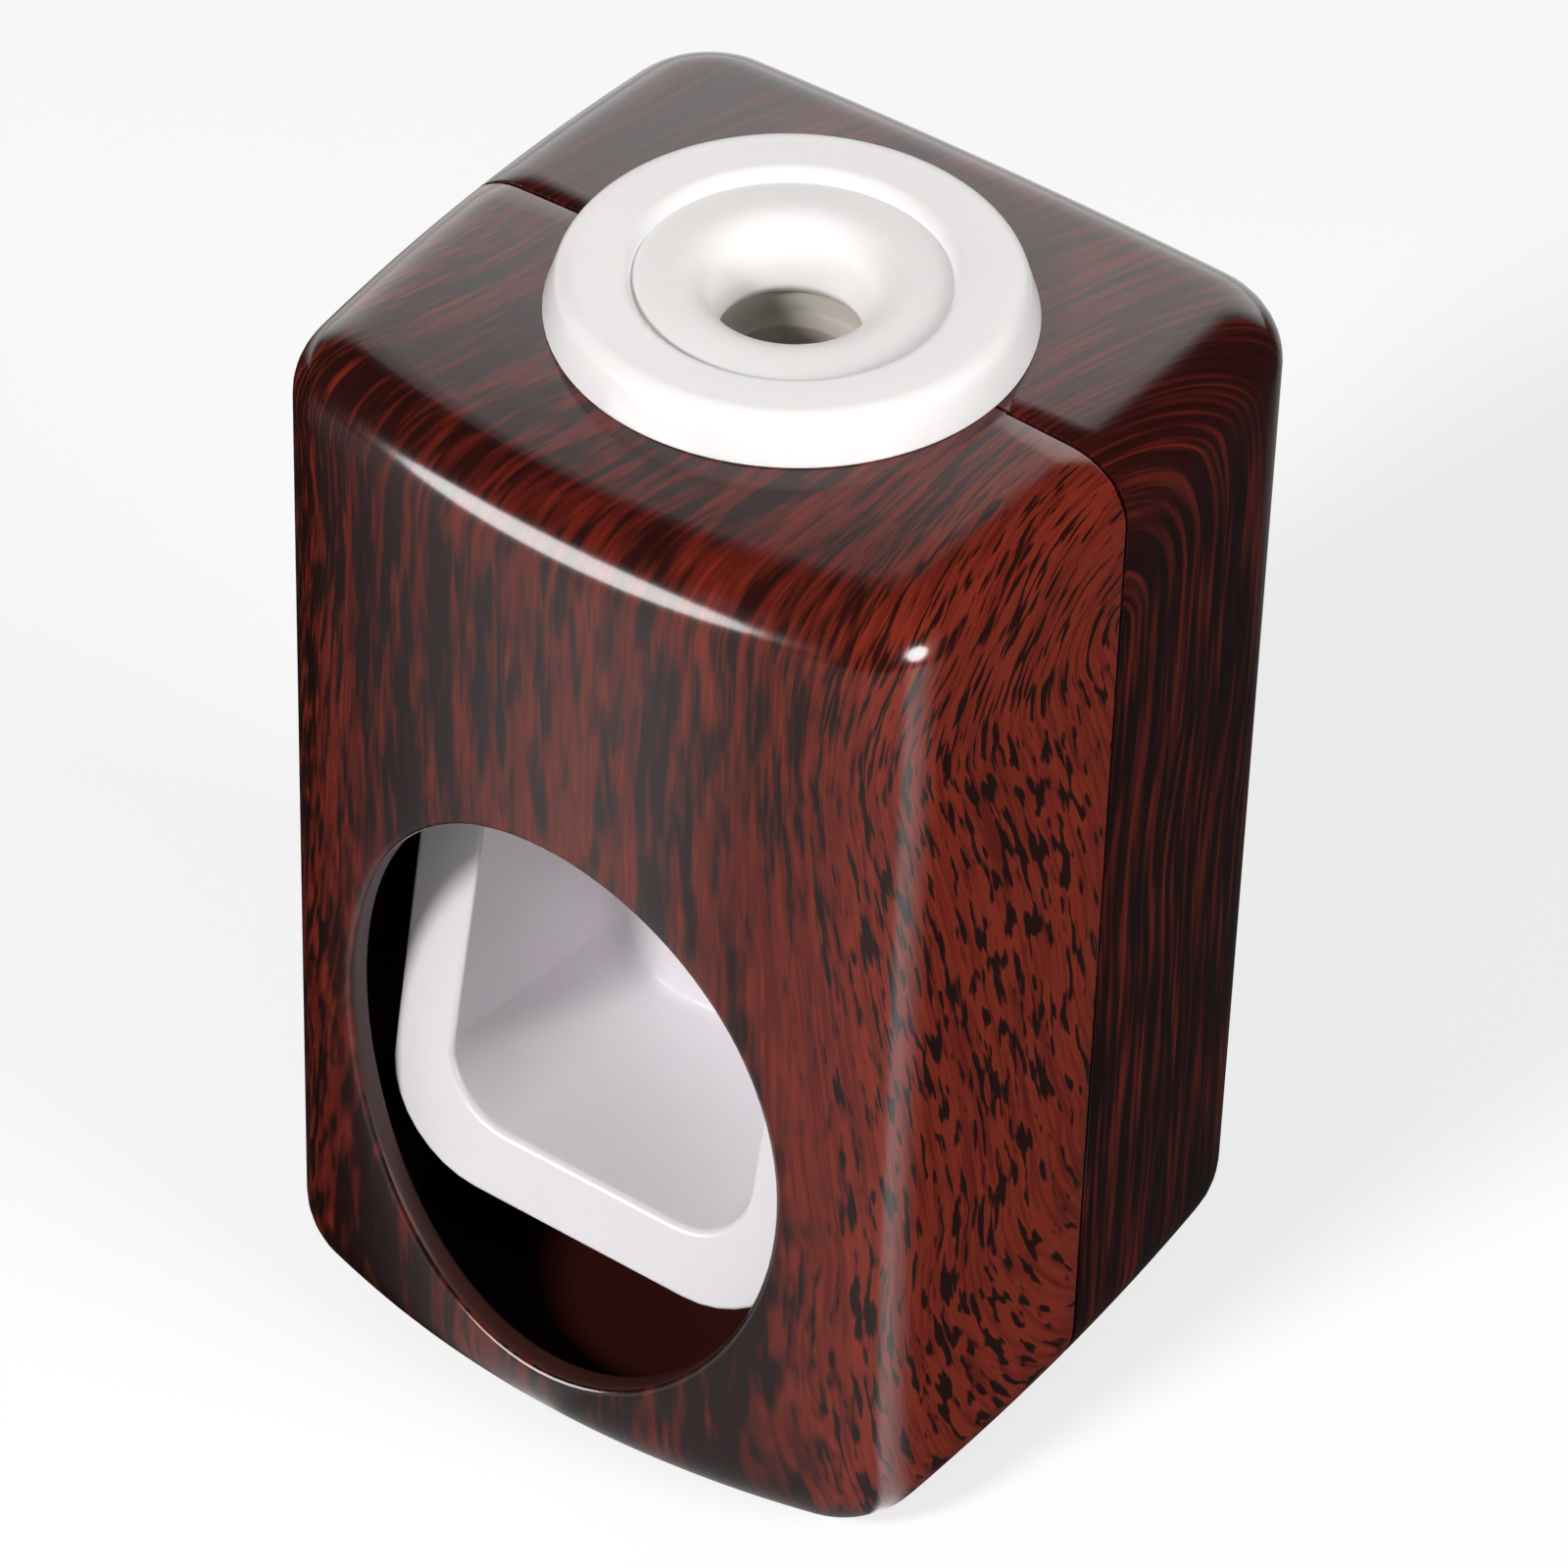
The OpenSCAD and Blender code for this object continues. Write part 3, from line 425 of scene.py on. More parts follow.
def to_metres(bm):
    bmesh.ops.scale(bm, vec=(MM, MM, MM), verts=bm.verts[:])


def round_off(bm, geom, offset, segments, affect="EDGES"):
    bmesh.ops.bevel(
        bm,
        geom=geom,
        offset=offset,
        offset_type="OFFSET",
        segments=segments,
        profile=0.5,
        affect=affect,
        material=-1,
    )


def join_flat_faces(bm):
    bmesh.ops.dissolve_limit(
        bm,
        angle_limit=FLAT_WITHIN,
        use_dissolve_boundaries=False,
        verts=bm.verts[:],
        edges=bm.edges[:],
    )


# Casing: each half is a grid of columns from seam to seam and rows from the base to the collar

FRONT_COLS, CORNER_COLS, SIDE_COLS = 16, 12, 8
HALF_COLS = FRONT_COLS + CORNER_COLS + SIDE_COLS
WINDOW_LOW, WINDOW_HIGH, WINDOW_ROWS = BASE_EDGE_R, 66.0, 26
BASE_ROUND_ROWS, TOP_ROUND_ROWS, CROWN_ROWS = 10, 10, 7
CASING_ROWS = (
    [("base", 0.0), ("base", 0.5)]
    + [("foot", 90 * k / BASE_ROUND_ROWS) for k in range(BASE_ROUND_ROWS + 1)]
    + [("wall", mix(WINDOW_LOW, WINDOW_HIGH, k / WINDOW_ROWS)) for k in range(1, WINDOW_ROWS + 1)]
    + [("upper wall", k / 4) for k in range(1, 4)]
    + [("brow", 90 - 90 * k / TOP_ROUND_ROWS) for k in range(TOP_ROUND_ROWS + 1)]
    + [("crown", k / CROWN_ROWS) for k in range(1, CROWN_ROWS + 1)]
    + [("hole", 1.0)]
)
FIRST_WINDOW_ROW = 2 + BASE_ROUND_ROWS
ROLL_ROWS, PRINT_ENDS_AT = 6, 60
OPENING_EDGE_R, OPENING_INNER_R, SEAM_EDGE = 0.7, 0.35, 0.16
CASING_MERGE, ON_SEAM, SEAM_FOLD = 0.0005, 1e-4, 0.8


def half_turn(sag, half_length):
    return 2 * math.atan(sag / half_length)


def front_arc():
    """Radius and centre of the bulged front panel's line through the corner centres."""
    turn = half_turn(FRONT_BULGE, CORNER_X)
    radius = CORNER_X / math.sin(turn)
    return turn, radius, SEAM_Y - CORNER_D + radius * math.cos(turn)


def side_arc():
    turn = half_turn(SIDE_BULGE, CORNER_D)
    radius = CORNER_D / math.sin(turn)
    return turn, radius, CORNER_X - radius * math.cos(turn)


def front_y(x, grow):
    """Depth of the front panel at x, on the outline grown by this corner radius."""
    _, radius, centre = front_arc()
    return centre - math.sqrt((radius + grow) ** 2 - x * x)


def outline_point(col, grow, front, cut):
    """Point of the plan outline on a column, for corners of radius grow, on the front or rear half."""
    side = -1 if col < 0 else 1
    k = abs(col)
    turn, radius, centre = front_arc()
    side_turn, side_radius, side_centre = side_arc()
    if not front:
        turn = 0.0
    if k <= FRONT_COLS:
        if front:
            a = turn * k / FRONT_COLS
            x, y = (radius + grow) * math.sin(a), centre - (radius + grow) * math.cos(a)
        else:
            x, y = CORNER_X * k / FRONT_COLS, SEAM_Y - CORNER_D - grow
    elif k <= FRONT_COLS + CORNER_COLS:
        a = mix(math.pi / 2 - turn, side_turn, (k - FRONT_COLS) / CORNER_COLS)
        x, y = CORNER_X + grow * math.cos(a), SEAM_Y - CORNER_D - grow * math.sin(a)
    else:
        last = math.asin(cut / (side_radius + grow))
        a = mix(side_turn, last, (k - FRONT_COLS - CORNER_COLS) / SIDE_COLS)
        radius = side_radius + grow
        x, y = side_centre + radius * math.cos(a), SEAM_Y - radius * math.sin(a)
    return Vector((side * x, y if front else 2 * SEAM_Y - y))


def top_height(p, inset):
    return CASE_H - inset - TOP_CROWN * ((p.x**2 + (p.y - SEAM_Y) ** 2) / HALF_W**2)


def casing_point(col, row, inset, front, cut):
    """Point of the casing's form, inset by a wall. cut is how far its edge stays from the seam plane."""
    kind, t = CASING_ROWS[row]
    corner, base_r, top_r = CORNER_R - inset, BASE_EDGE_R - inset, TOP_EDGE_R - inset
    middle = Vector((0, SEAM_Y - cut if front else SEAM_Y + cut))
    a = math.radians(t)
    if kind == "base":
        p = middle.lerp(outline_point(col, corner - base_r, front, cut), t)
        return (*p, inset)
    if kind == "foot":
        p = outline_point(col, corner - base_r * (1 - math.sin(a)), front, cut)
        return (*p, inset + base_r * (1 - math.cos(a)))
    if kind == "wall":
        return (*outline_point(col, corner, front, cut), t)
    if kind == "upper wall":
        p = outline_point(col, corner, front, cut)
        return (*p, mix(WINDOW_HIGH, top_height(p, inset) - top_r, t))
    if kind == "brow":
        p = outline_point(col, corner - top_r * (1 - math.sin(a)), front, cut)
        return (*p, top_height(p, inset) - top_r * (1 - math.cos(a)))
    edge = outline_point(col, corner - top_r, front, cut)
    seat_r = COLLAR_R if inset == 0 else mix(HOLE_R, COLLAR_R, 0.3)
    ring = middle + (edge - middle).normalized() * (seat_r if kind == "crown" else HOLE_R)
    p = edge.lerp(ring, t)
    seat_z = CASE_H - TOP_CROWN * (COLLAR_R / HALF_W) ** 2
    return (*p, seat_z if kind == "hole" and inset == 0 else top_height(p, inset))


def casing_skin(inset, front, cut):
    """One surface of a casing half, and its vertices by column and row."""
    bm = bmesh.new()
    bm.verts.layers.int.new("place")
    cols, rows = 2 * HALF_COLS, len(CASING_ROWS) - 1
    bmesh.ops.create_grid(bm, x_segments=cols, y_segments=rows, size=1.0)
    table = {}
    for v in bm.verts:
        col = round((v.co.x + 1) / 2 * cols) - HALF_COLS
        row = round((v.co.y + 1) / 2 * rows)
        table[col, row] = v
    for (col, row), v in table.items():
        v.co = casing_point(col, row, inset, front, cut)
    return bm, table


def opening_target(angle, grow, inset, depth):
    """Point on the opening's oval, grown outward in the panel, this deep behind or ahead of its surface."""
    normal = Vector((math.cos(angle) / OPENING_A, math.sin(angle) / OPENING_B)).normalized()
    x = OPENING_A * math.cos(angle) + normal.x * grow
    z = OPENING_B * math.sin(angle) + normal.y * grow + OPENING_Z
    return Vector((x, front_y(x, CORNER_R - inset) + depth, z))


def cut_opening(bm, table, inset, edge_r):
    """Replaces the window in the front panel by rings that close in on the oval and roll into its wall."""
    low, high = FIRST_WINDOW_ROW, FIRST_WINDOW_ROW + WINDOW_ROWS
    cols = range(-FRONT_COLS, FRONT_COLS + 1)
    walk = (
        [(c, low) for c in cols]
        + [(FRONT_COLS, r) for r in range(low + 1, high)]
        + [(c, high) for c in reversed(cols)]
        + [(-FRONT_COLS, r) for r in range(high - 1, low, -1)]
    )
    place = bm.verts.layers.int["place"]
    angles, starts = [], []
    for k, key in enumerate(walk):
        outer = Vector(casing_point(*key, 0.0, True, SEAM_GAP / 2))
        angles.append(math.atan2((outer.z - OPENING_Z) / OPENING_B, outer.x / OPENING_A))
        starts.append(table[key].co.copy())
        table[key][place] = k + 1
    inside = {table[c, r] for c in cols for r in range(low, high + 1)}
    doomed = [f for f in bm.faces if all(v in inside for v in f.verts)]
    bmesh.ops.delete(bm, geom=doomed, context="FACES")
    sign = 1 if inset == 0 else -1
    steps = [("close in", t) for t in (0.25, 0.5, 0.75, 1.0)]
    steps += [("roll", 90 * k / ROLL_ROWS) for k in range(1, ROLL_ROWS + 1)] + [("meet", 0.0)]
    edges = [e for e in bm.edges if e.is_boundary and all(v[place] for v in e.verts)]
    for kind, t in steps:
        made = bmesh.ops.extrude_edge_only(bm, edges=edges)["geom"]
        if inset == 0 and (kind == "meet" or kind == "roll" and t > PRINT_ENDS_AT):
            for face in (g for g in made if isinstance(g, bmesh.types.BMFace)):
                face.material_index = 1
        verts = [g for g in made if isinstance(g, bmesh.types.BMVert)]
        edges = [g for g in made if isinstance(g, bmesh.types.BMEdge)]
        for v in verts:
            k = v[place] - 1
            if kind == "close in":
                goal = opening_target(angles[k], edge_r, inset, 0.0)
                v.co = starts[k].lerp(goal, t)
                v.co.y = front_y(v.co.x, CORNER_R - inset)
            elif kind == "roll":
                a = math.radians(t)
                v.co = opening_target(
                    angles[k], edge_r * (1 - math.sin(a)), inset, sign * edge_r * (1 - math.cos(a))
                )
            else:
                outer = opening_target(angles[k], 0.0, 0.0, 0.0)
                inner = opening_target(angles[k], 0.0, WALL, 0.0)
                v.co = outer.lerp(inner, 0.5)


def casing_shell(name, front, material):
    cut = SEAM_GAP / 2
    seam_y = SEAM_Y - cut if front else SEAM_Y + cut
    bm, table = casing_skin(0.0, front, cut)
    if front:
        cut_opening(bm, table, 0.0, OPENING_EDGE_R)
    inner, inner_table = casing_skin(WALL, front, cut)
    if front:
        cut_opening(inner, inner_table, WALL, OPENING_INNER_R)
    for face in inner.faces:
        face.material_index = 1
    holder = bpy.data.meshes.new("inner")
    inner.to_mesh(holder)
    inner.free()
    rim_before = [e for e in bm.edges if e.is_boundary and not in_opening(e)]
    bm.from_mesh(holder)
    bpy.data.meshes.remove(holder)
    known = set(rim_before)
    rim_after = [e for e in bm.edges if e.is_boundary and not in_opening(e) and e not in known]
    bmesh.ops.bridge_loops(bm, edges=rim_before + rim_after)
    bmesh.ops.remove_doubles(bm, verts=bm.verts[:], dist=CASING_MERGE)
    bmesh.ops.recalc_face_normals(bm, faces=bm.faces[:])
    seam_edge = [
        e
        for e in bm.edges
        if all(abs(v.co.y - seam_y) < ON_SEAM for v in e.verts)
        and len(e.link_faces) == 2
        and e.calc_face_angle(0) > SEAM_FOLD
        and all(abs(v.co.x) > COLLAR_R + 0.5 or v.co.z < WALL / 2 for v in e.verts)
        and all(outside_wall(v.co) for v in e.verts)
    ]
    round_off(bm, seam_edge, SEAM_EDGE, 2)
    to_metres(bm)
    shell = finish_piece(bm, name, "housing", material, MOULDED_SHARP, [name])
    shell.data.materials.append(casing_inside)


def in_opening(edge):
    """True for an edge of the opening, and not of the seam."""
    points = [v.co for v in edge.verts]
    return all(abs(p.x) < OPENING_A + 1 and p.y < SEAM_Y - CORNER_D and p.z > 5 for p in points)


def outside_wall(p):
    """True for a point of the outer surface on the seam plane."""
    return abs(p.x) > HALF_W - WALL / 2 or p.z < WALL / 2 or p.z > top_height(p, WALL / 2)


casing_shell("front_shell", True, wood_front)
casing_shell("rear_shell", False, wood_rear)


# Turned pieces


TURN_STEPS, TURN_MERGE = 128, 1e-4


def turned(name, profile, material):
    """A closed profile of (radius, height, rounding) in millimetres, spun round the pump's axis."""
    bm = bmesh.new()
    verts = [bm.verts.new((r, SEAM_Y, z)) for r, z, _ in profile]
    for a, b in zip(verts, verts[1:] + verts[:1]):
        bm.edges.new((a, b))
    for v, (_, _, rounding) in zip(verts, profile):
        if rounding:
            round_off(bm, [v], rounding, 8, "VERTICES")
    bmesh.ops.spin(
        bm,
        geom=bm.verts[:] + bm.edges[:],
        cent=(0, SEAM_Y, 0),
        axis=(0, 0, 1),
        angle=2 * math.pi,
        steps=TURN_STEPS,
        use_merge=True,
    )
    bmesh.ops.remove_doubles(bm, verts=bm.verts[:], dist=TURN_MERGE)
    bmesh.ops.recalc_face_normals(bm, faces=bm.faces[:])
    to_metres(bm)
    finish_piece(bm, name, "housing", material, MOULDED_SHARP, [name])


SKIRT_R, LEDGE_Z, FLANGE_Z = 18.3, 92.02, 95.3
SEAT_Z = CASE_H - TOP_CROWN * (SKIRT_R / HALF_W) ** 2
turned(
    "inlet_collar",
    [
        (SKIRT_R, SEAT_Z, 0.25),
        (17.1, 97.58, 1.3),
        (12.15, 97.3, 0.8),
        (11.7, 96.1, 0),
        (11.7, 95.6, 0),
        (11.6, FLANGE_Z, 0),
        (11.6, LEDGE_Z, 0),
        (9.4, LEDGE_Z, 0),
        (9.4, 79.3, 0),
        (10.81, 79.3, 0),
        (10.81, 84.2, 0),
        (13.0, 85.2, 0.3),
        (13.0, SEAT_Z, 0),
    ],
    white_gloss,
)

# The gasket's face rises from the groove to a crest, rounds a shoulder and drops steeply to the lip
CREST_R, CREST_Z, LIP_R, LIP_Z, GROOVE_R, GROOVE_Z = 8.8, 96.75, 5.3, 91.8, 12.05, 96.42
SHOULDER_R, SHOULDER_Z = 5.7, 93.6
quarter = [math.radians(90 * k / 10) for k in range(11)]
gasket_sleeve = [
    (LIP_R, 82.4, 0.2),
    (9.3, 82.4, 0.3),
    (9.3, LEDGE_Z, 0),
    (11.5, LEDGE_Z, 0),
    (11.5, FLANGE_Z, 0),
    (GROOVE_R, 95.6, 0),
]
gasket_rise = [
    (mix(GROOVE_R, CREST_R, 2 * a / math.pi), mix(GROOVE_Z, CREST_Z, math.sin(a)), 0)
    for a in quarter
]
gasket_shoulder = [
    (mix(CREST_R, SHOULDER_R, math.sin(a)), mix(SHOULDER_Z, CREST_Z, math.cos(a)), 0)
    for a in quarter[1:9]
]
gasket_grip = [
    (LIP_R, LIP_Z, 0.25),
    (5.75, 91.0, 0.1),
    (6.4, 90.6, 0.2),
    (6.4, 88.6, 0.2),
    (LIP_R, 88.2, 0.2),
]
turned(
    "inlet_gasket",
    gasket_sleeve + gasket_rise + gasket_shoulder + gasket_grip,
    milky_silicone,
)


# Pieces that keep their solids' shapes


def softened(node, body, material, edge):
    """A merged copy of a node with smooth surfaces and its sharp edges rounded by edge millimetres."""
    bm = bmesh.new()
    bm.from_mesh(NODES[node].data)
    bmesh.ops.remove_doubles(bm, verts=bm.verts[:], dist=COPY_MERGE * MM)
    join_flat_faces(bm)
    piece = finish_piece(bm, node + "_smooth", body, material, COPY_SHARP, [node])
    if edge:
        rounding = piece.modifiers.new("edges", "BEVEL")
        rounding.width = edge * MM
        rounding.segments = 3
        rounding.limit_method = "ANGLE"
        rounding.angle_limit = math.radians(COPY_SHARP)
        rounding.use_clamp_overlap = True
        rounding.harden_normals = True
    return piece


fixed_pieces = {}
for node, slot, material, edge in (
    ("collar_nut", "white_gloss", white_gloss, 0.2),
    ("core_frame", "frame_plastic", frame_plastic, 0.15),
    ("valve_seat", "white_gloss", white_gloss, 0.0),
    ("inlet_valve", "clear_silicone", clear_silicone, 0.0),
    ("seal_ring", "dark_rubber", dark_rubber, 0.0),
    ("pump_bulb", "clear_silicone", clear_silicone, 0.0),
    ("bulb_clamp", "steel", steel, 0.0),
    ("outlet_nozzle", "white_gloss", white_gloss, 0.0),
    ("outlet_valve", "clear_silicone", clear_silicone, 0.0),
    ("nozzle_ring", "white_gloss", white_gloss, 0.1),
    ("pivot_pin", "steel", steel, 0.0),
    ("pin_clips", "steel", steel, 0.0),
    ("return_springs", "steel", steel, 0.0),
    ("frame_screws", "steel", steel, 0.1),
    ("rest_bumpers", "dark_rubber", dark_rubber, 0.15),
    ("travel_bumper", "dark_rubber", dark_rubber, 0.0),
    ("wall_pad", "foam", foam, 0.15),
):
    fixed_pieces[node] = softened(node, "housing", material, edge)
softened("press_pad", "scoop_lever", dark_rubber, 0.15)
softened("pivot_bushes", "scoop_lever", bush_plastic, 0.0)


# Scoop: its front edges are rounded, the inner one most

RIM_Y, RIM_Z, RIM_LEAN = -23.84, 17.0, math.radians(12)
ARM_Z, PIVOT_Y, PIVOT_Z, HUB_R = 48.0, -12.75, 76.0, 4.2
ARM_Y = RIM_Y + (ARM_Z - RIM_Z) * math.tan(RIM_LEAN)


def scoop_front_y(z):
    """Depth of the scoop's front face, which leans back, and of its arms above."""
    if z < ARM_Z + 0.01:
        return RIM_Y + (z - RIM_Z) * math.tan(RIM_LEAN)
    return mix(ARM_Y, PIVOT_Y - HUB_R, (z - ARM_Z) / (PIVOT_Z - ARM_Z))


SCOOP_BACK_Y, SCOOP_CORNER_R = -0.24, 5.5
MOUTH_HALF_W, BACK_HALF_W, FLOOR_FRONT_Z, FLOOR_BACK_Z = 13.4, 12.5, 23.8, 22.0
SOLID_BACK_R, SEEN_BACK_R = 2.5, 1.1
SEEN_WIDTH, SEEN_RIM_Z = 1.075, 17.9
WIDENS_OVER_Z, NARROWS_OVER_Z = (18.0, 30.0), (52.0, 60.0)
NEAR_FRONT, SCOOP_FOLD, ROUND_TO_Z = 0.3, 0.7, PIVOT_Z - 5
INNER_HALF_W, INNER_FLOOR_Z = 14.8, 23.5
SCOOP_OUTER_EDGE, SCOOP_INNER_EDGE = 0.45, 0.6


def tighten_back_corner(v):
    """Moves a point of the rounding round the scoop's back wall out to the smaller rounding seen."""
    x, y, z = v.co
    t = (y - RIM_Y) / (SCOOP_BACK_Y - RIM_Y)
    half_w, floor_z = mix(MOUTH_HALF_W, BACK_HALF_W, t), mix(FLOOR_FRONT_Z, FLOOR_BACK_Z, t)
    turned_by = (y - SCOOP_BACK_Y + SOLID_BACK_R) / SOLID_BACK_R
    if not (0.0 < turned_by <= 1.001 and abs(x) < half_w + 0.1 and z > floor_z - 0.1):
        return
    a = math.asin(min(turned_by, 1.0))
    out = (SOLID_BACK_R - SEEN_BACK_R) * (1 - math.cos(a))
    if turned_by > 0.999 and (abs(x) < half_w - SOLID_BACK_R - 0.1 and z > floor_z + SOLID_BACK_R + 0.1):
        out = 0.0
    from_x, from_z = abs(x) - (half_w - SCOOP_CORNER_R), z - (floor_z + SCOOP_CORNER_R)
    push = Vector((max(from_x, 0.0), min(from_z, 0.0)))
    if push.length < 1e-6:
        return
    push = push.normalized() * out
    v.co.x += math.copysign(push.x, x)
    v.co.z += push.y
    v.co.y = SCOOP_BACK_Y - SEEN_BACK_R * (1 - math.sin(a))


def on_scoop_front(p):
    return abs(p.y - scoop_front_y(p.z)) < NEAR_FRONT and p.z < ROUND_TO_Z


def round_scoop_front(bm):
    edges = [e for e in bm.edges if all(on_scoop_front(v.co) for v in e.verts)]
    front = [e for e in edges if e.calc_face_angle(0) > SCOOP_FOLD]
    inner = [
        e
        for e in front
        if all(abs(v.co.x) < INNER_HALF_W and v.co.z > INNER_FLOOR_Z for v in e.verts)
    ]
    outer = [e for e in front if e not in inner]
    for edges, offset in ((outer, SCOOP_OUTER_EDGE), (inner, SCOOP_INNER_EDGE)):
        round_off(bm, [e for e in edges if e.is_valid], offset, 5)


def scoop():
    """The scoop's copy, with the tighter back corners, the width and the rim's height seen."""
    bm = bmesh.new()
    bm.from_mesh(NODES["push_cup"].data)
    bmesh.ops.scale(bm, vec=(1 / MM, 1 / MM, 1 / MM), verts=bm.verts[:])
    bmesh.ops.remove_doubles(bm, verts=bm.verts[:], dist=COPY_MERGE)
    join_flat_faces(bm)
    for v in bm.verts:
        tighten_back_corner(v)
        widen = share_between(v.co.z, *WIDENS_OVER_Z) - share_between(v.co.z, *NARROWS_OVER_Z)
        v.co.x *= mix(1.0, SEEN_WIDTH, widen)
        v.co.z += (SEEN_RIM_Z - RIM_Z) * share_between(v.co.z, FLOOR_FRONT_Z, RIM_Z)
    round_scoop_front(bm)
    to_metres(bm)
    piece = finish_piece(
        bm, "scoop", "scoop_lever", scoop_white, COPY_SHARP, ["push_cup"]
    )
    even = piece.modifiers.new("even shading", "WEIGHTED_NORMAL")
    even.keep_sharp = True


scoop()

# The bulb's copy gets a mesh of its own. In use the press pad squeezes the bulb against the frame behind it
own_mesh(fixed_pieces["pump_bulb"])


# Floor, lamps and camera


# Painted reflections. What shiny pieces see of the paper, by azimuths in degrees: a painted glow in front
# of the panel that dims to the right, a painted highlight past the right corner, and a painted bright part
# far behind on the left
PAINTED_GLOW_CENTRE = (0.0, -22.0)
PAINTED_GLOW_RISES, PAINTED_GLOW_DIMS, PAINTED_GLOW_ENDS = (-80.0, -22.0), (-18.0, 4.0, 0.55), (75.0, 110.0, 0.95)
PAINTED_PEAK_CENTRE = (CORNER_X, SEAM_Y - CORNER_D)
PAINTED_PEAK_RISES, PAINTED_PEAK_FADES = (62.0, 70.0), (70.0, 108.0)
PAINTED_FAR_BEHIND_Y, PAINTED_FAR_LEFT_X = (60.0, 200.0), (-100.0, 100.0)
PAINTED_GLOW_LEVEL, PAINTED_PEAK_LEVEL, PAINTED_DARK_LEVEL = 0.7, 1.45, 0.01
SEEN_GLOW, OWN_GLOW = 0.45, 0.25
FLOOR_HALF = 3.0


def paper_with_painted_reflections():
    """White paper that glows faintly by itself, more so for the camera; glossy rays see painted reflections
    on it.
    """
    material, tree, shader = new_finish("paper_painted_reflections", Base_Color=(0.32, 0.32, 0.32), Roughness=0.9, IOR=1.2)
    path = put(tree, "ShaderNodeLightPath")
    own_glow = calc(tree, "MULTIPLY_ADD", seen_directly(tree, path), SEEN_GLOW, OWN_GLOW)
    shader.inputs["Emission Color"].default_value = (1, 1, 1, 1)
    tree.links.new(own_glow, shader.inputs["Emission Strength"])
    x, y, _ = put(tree, "ShaderNodeSeparateXYZ", {0: millimetres(tree)}).outputs

    def way_from(centre_x, centre_y):
        """Azimuth of the floor's point about a centre, 0 straight in front."""
        ahead = calc(tree, "SUBTRACT", centre_y, y)
        to_right = calc(tree, "SUBTRACT", x, centre_x)
        return calc(tree, "DEGREES", calc(tree, "ARCTAN2", to_right, ahead))

    def less(value, low, high, share=1.0):
        return calc(tree, "MULTIPLY_ADD", ramp_between(tree, value, low, high), -share, 1.0)

    # Painted reflection: a glow that glossy rays see in front of the panel
    way = way_from(*PAINTED_GLOW_CENTRE)
    painted_glow = calc(tree, "MULTIPLY", ramp_between(tree, way, *PAINTED_GLOW_RISES), less(way, *PAINTED_GLOW_DIMS))
    painted_glow = calc(tree, "MULTIPLY", painted_glow, less(way, *PAINTED_GLOW_ENDS))
    # Painted highlight: a peak that glossy rays see past the right corner
    way = way_from(*PAINTED_PEAK_CENTRE)
    fade = less(way, *PAINTED_PEAK_FADES)
    fade = calc(tree, "MULTIPLY", fade, fade)
    painted_peak = calc(tree, "MULTIPLY", ramp_between(tree, way, *PAINTED_PEAK_RISES), fade)
    # Painted reflection: a bright part far behind on the left
    behind = ramp_between(tree, y, *PAINTED_FAR_BEHIND_Y)
    painted_far_left = calc(tree, "MULTIPLY", behind, less(x, *PAINTED_FAR_LEFT_X))
    level = calc(tree, "MULTIPLY_ADD", painted_peak, PAINTED_PEAK_LEVEL, PAINTED_DARK_LEVEL)
    level = calc(tree, "MULTIPLY_ADD", painted_glow, PAINTED_GLOW_LEVEL, level)
    level = calc(tree, "MAXIMUM", level, painted_far_left)
    # Only glossy rays see this painted reflection; other rays see the lit paper
    painted_reflection = put(tree, "ShaderNodeEmission", {"Strength": level})
    mixed = put(tree, "ShaderNodeMixShader", {0: path.outputs["Is Glossy Ray"], 1: shader.outputs[0]})
    tree.links.new(painted_reflection.outputs[0], mixed.inputs[2])
    tree.links.new(mixed.outputs[0], tree.nodes["Material Output"].inputs["Surface"])
    return material


floor_mesh = bpy.data.meshes.new("floor")
floor_bm = bmesh.new()
bmesh.ops.create_grid(floor_bm, x_segments=8, y_segments=8, size=FLOOR_HALF)
floor_bm.to_mesh(floor_mesh)
floor_bm.free()
floor_mesh.materials.append(paper_with_painted_reflections())
floor = bpy.data.objects.new("floor", floor_mesh)
bpy.context.scene.collection.objects.link(floor)


def direction(azimuth, elevation):
    """Azimuth 0 is straight in front, and 90 to the right."""
    a, e = math.radians(azimuth), math.radians(elevation)
    return Vector((math.sin(a) * math.cos(e), -math.cos(a) * math.cos(e), math.sin(e)))


# Even room light. Shiny pieces see a bright wall behind on the left and dim walls elsewhere
WALL_TOWARDS, WALL_EDGE = direction(-150, 5), (0.72, 0.87)
WALL_LEVEL, DIM_LEVEL, ROOM_LEVEL = 1.9, 0.02, 0.12
world = bpy.data.worlds.new("studio")
bpy.context.scene.world = world
world.use_nodes = True
sky = world.node_tree
sky_path = put(sky, "ShaderNodeLightPath")
sky_way = put(sky, "ShaderNodeTexCoord").outputs["Generated"]
sky_facing = put(
    sky, "ShaderNodeVectorMath", {0: sky_way, 1: WALL_TOWARDS}, operation="DOT_PRODUCT"
).outputs["Value"]
wall_share = ramp_between(sky, sky_facing, *WALL_EDGE)
wall_level = calc(sky, "MULTIPLY_ADD", wall_share, WALL_LEVEL, DIM_LEVEL)
sky_level = blend_values(sky, sky_path.outputs["Is Glossy Ray"], ROOM_LEVEL, wall_level)
sky_level = blend_values(sky, seen_directly(sky, sky_path), sky_level, 1.0)
sky.nodes["Background"].inputs[0].default_value = (1, 1, 1, 1)
sky.links.new(sky_level, sky.nodes["Background"].inputs[1])


LAMP_AIM = Vector((0, 0, 0.05))


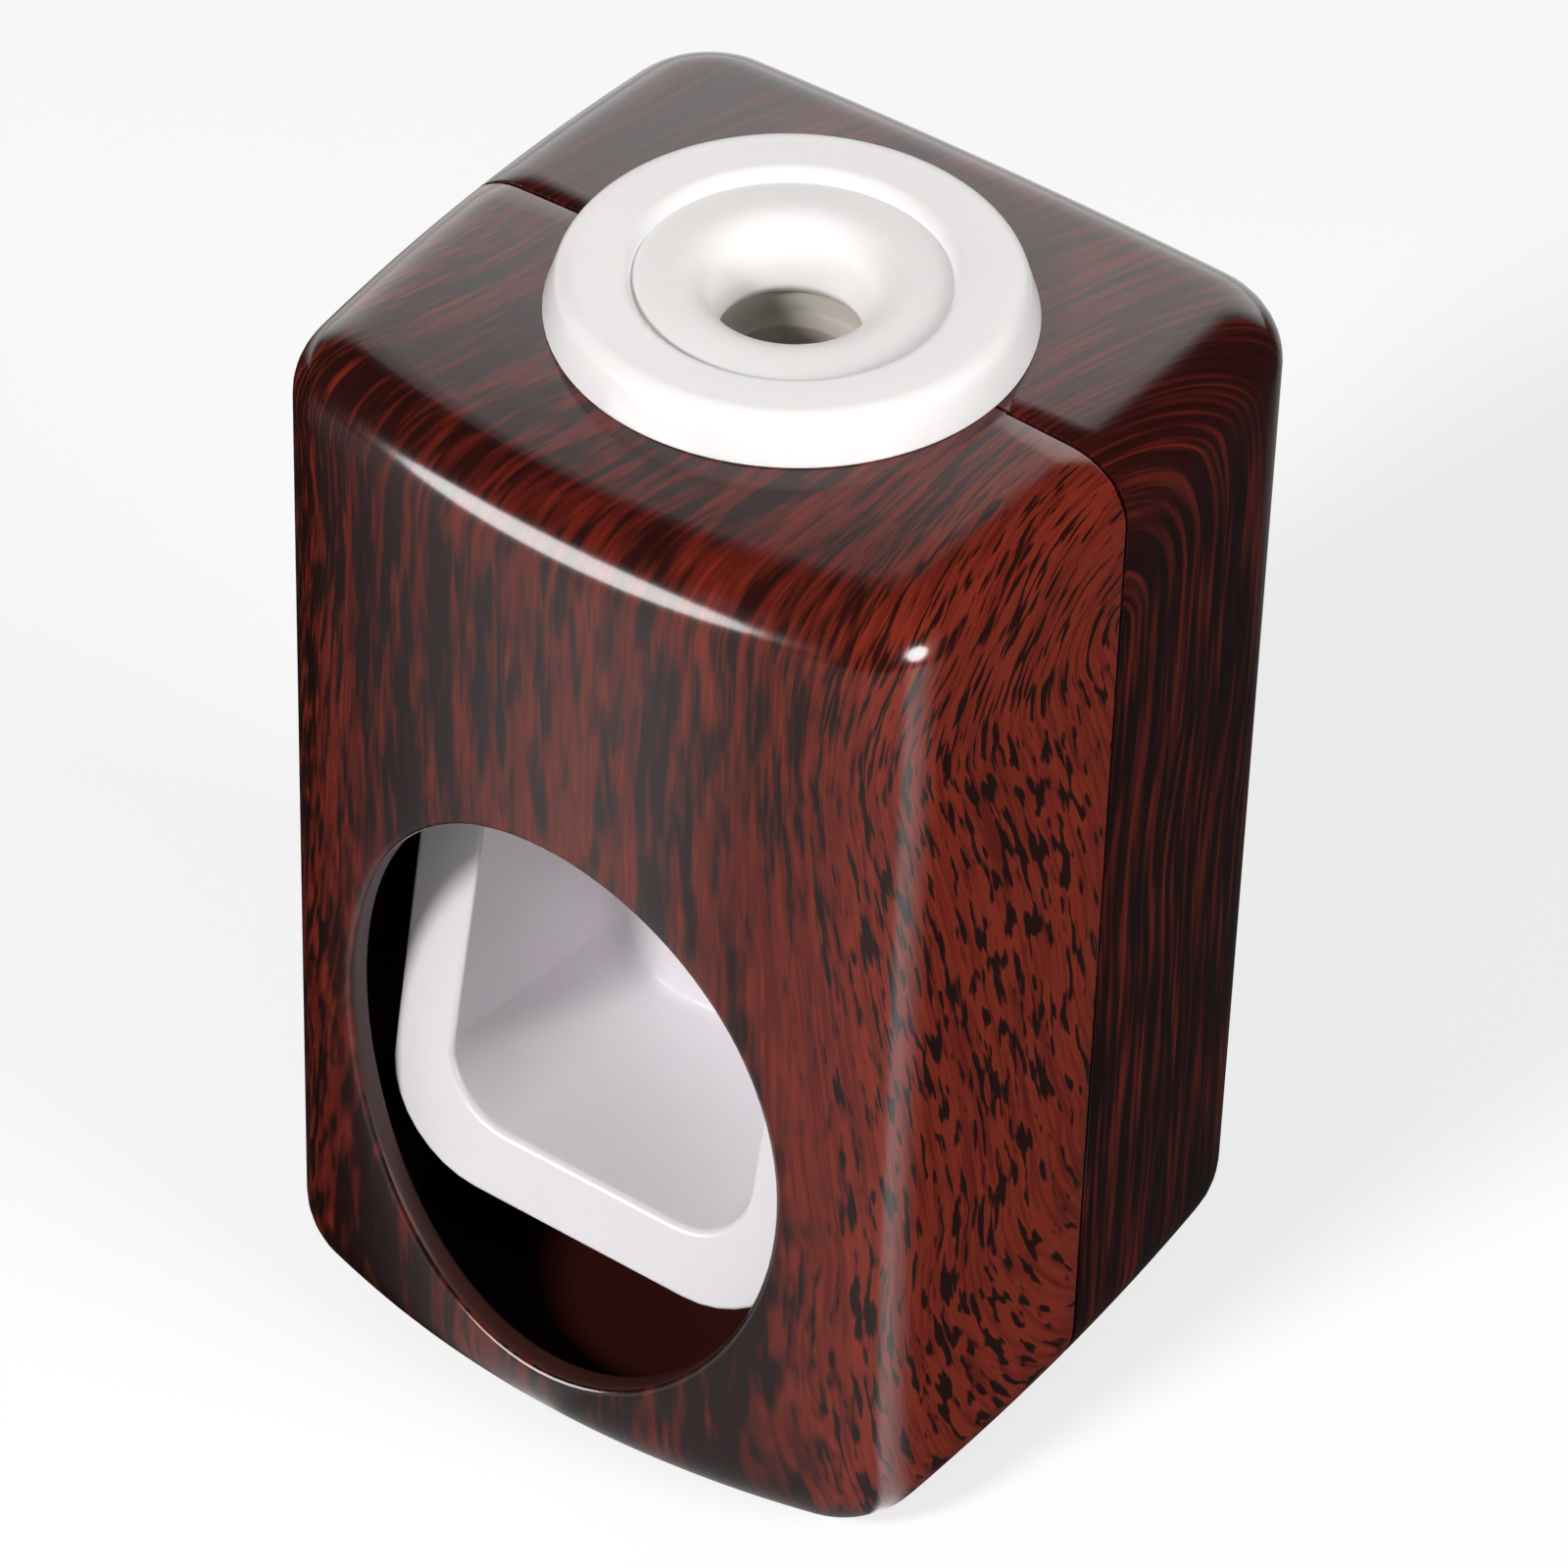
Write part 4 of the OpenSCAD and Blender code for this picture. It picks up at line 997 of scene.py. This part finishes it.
def softbox(name, azimuth, elevation, distance, width, height, level, lights=True, shines=True):
    """Oval area lamp. level is its face's brightness, and it lights, shines in gloss, or both."""
    lamp = bpy.data.lights.new(name, "AREA")
    lamp.shape = "ELLIPSE"
    lamp.size, lamp.size_y = width, height
    lamp.energy = level * math.pi * (math.pi / 4 * width * height)
    holder = bpy.data.objects.new(name, lamp)
    towards = direction(azimuth, elevation)
    holder.location = LAMP_AIM + towards * distance
    holder.rotation_mode = "QUATERNION"
    holder.rotation_quaternion = towards.to_track_quat("Z", "Y")
    holder.visible_camera = False
    holder.visible_diffuse = lights
    holder.visible_glossy = shines
    bpy.context.scene.collection.objects.link(holder)


softbox("key_box", -10, 37.5, 0.9, 0.18, 0.18, 84.0, shines=False)
softbox("right_fill", 92, 22, 0.9, 0.5, 0.5, 9.8, shines=False)
softbox("shine_front_left", -25, 13, 0.8, 0.60, 0.36, 13.0, lights=False)
softbox("shine_right", 76, 20, 0.8, 0.28, 0.26, 20.0, lights=False)

# Camera, fitted to the outline in the photo
AZIMUTH, ELEVATION, ROLL = 34.843, 41.361, 1.729
DISTANCE, AIM = 0.6492, Vector((0, -0.00025, 0.05))
FOCAL_PX, CENTRE_PX, IMAGE_PX, SENSOR = 8679.0, (781.7, 786.3), 1600.0, 36.0
back = direction(AZIMUTH, ELEVATION)
level_right = Vector((math.cos(math.radians(AZIMUTH)), math.sin(math.radians(AZIMUTH)), 0))
level_up = back.cross(level_right)
roll = math.radians(ROLL)
right = level_right * math.cos(roll) + level_up * math.sin(roll)
up = level_up * math.cos(roll) - level_right * math.sin(roll)
lens = bpy.data.cameras.new("camera")
lens.sensor_width = SENSOR
lens.lens = FOCAL_PX * SENSOR / IMAGE_PX
lens.shift_x = (IMAGE_PX / 2 - CENTRE_PX[0]) / IMAGE_PX
lens.shift_y = (CENTRE_PX[1] - IMAGE_PX / 2) / IMAGE_PX
lens.clip_start, lens.clip_end = 0.01, 20.0
camera = bpy.data.objects.new("camera", lens)
turned_to = Matrix((right, up, back)).transposed().to_4x4()
camera.matrix_world = Matrix.Translation(AIM + back * DISTANCE) @ turned_to
bpy.context.scene.collection.objects.link(camera)
bpy.context.scene.camera = camera
bpy.context.scene.view_settings.view_transform = "Standard"
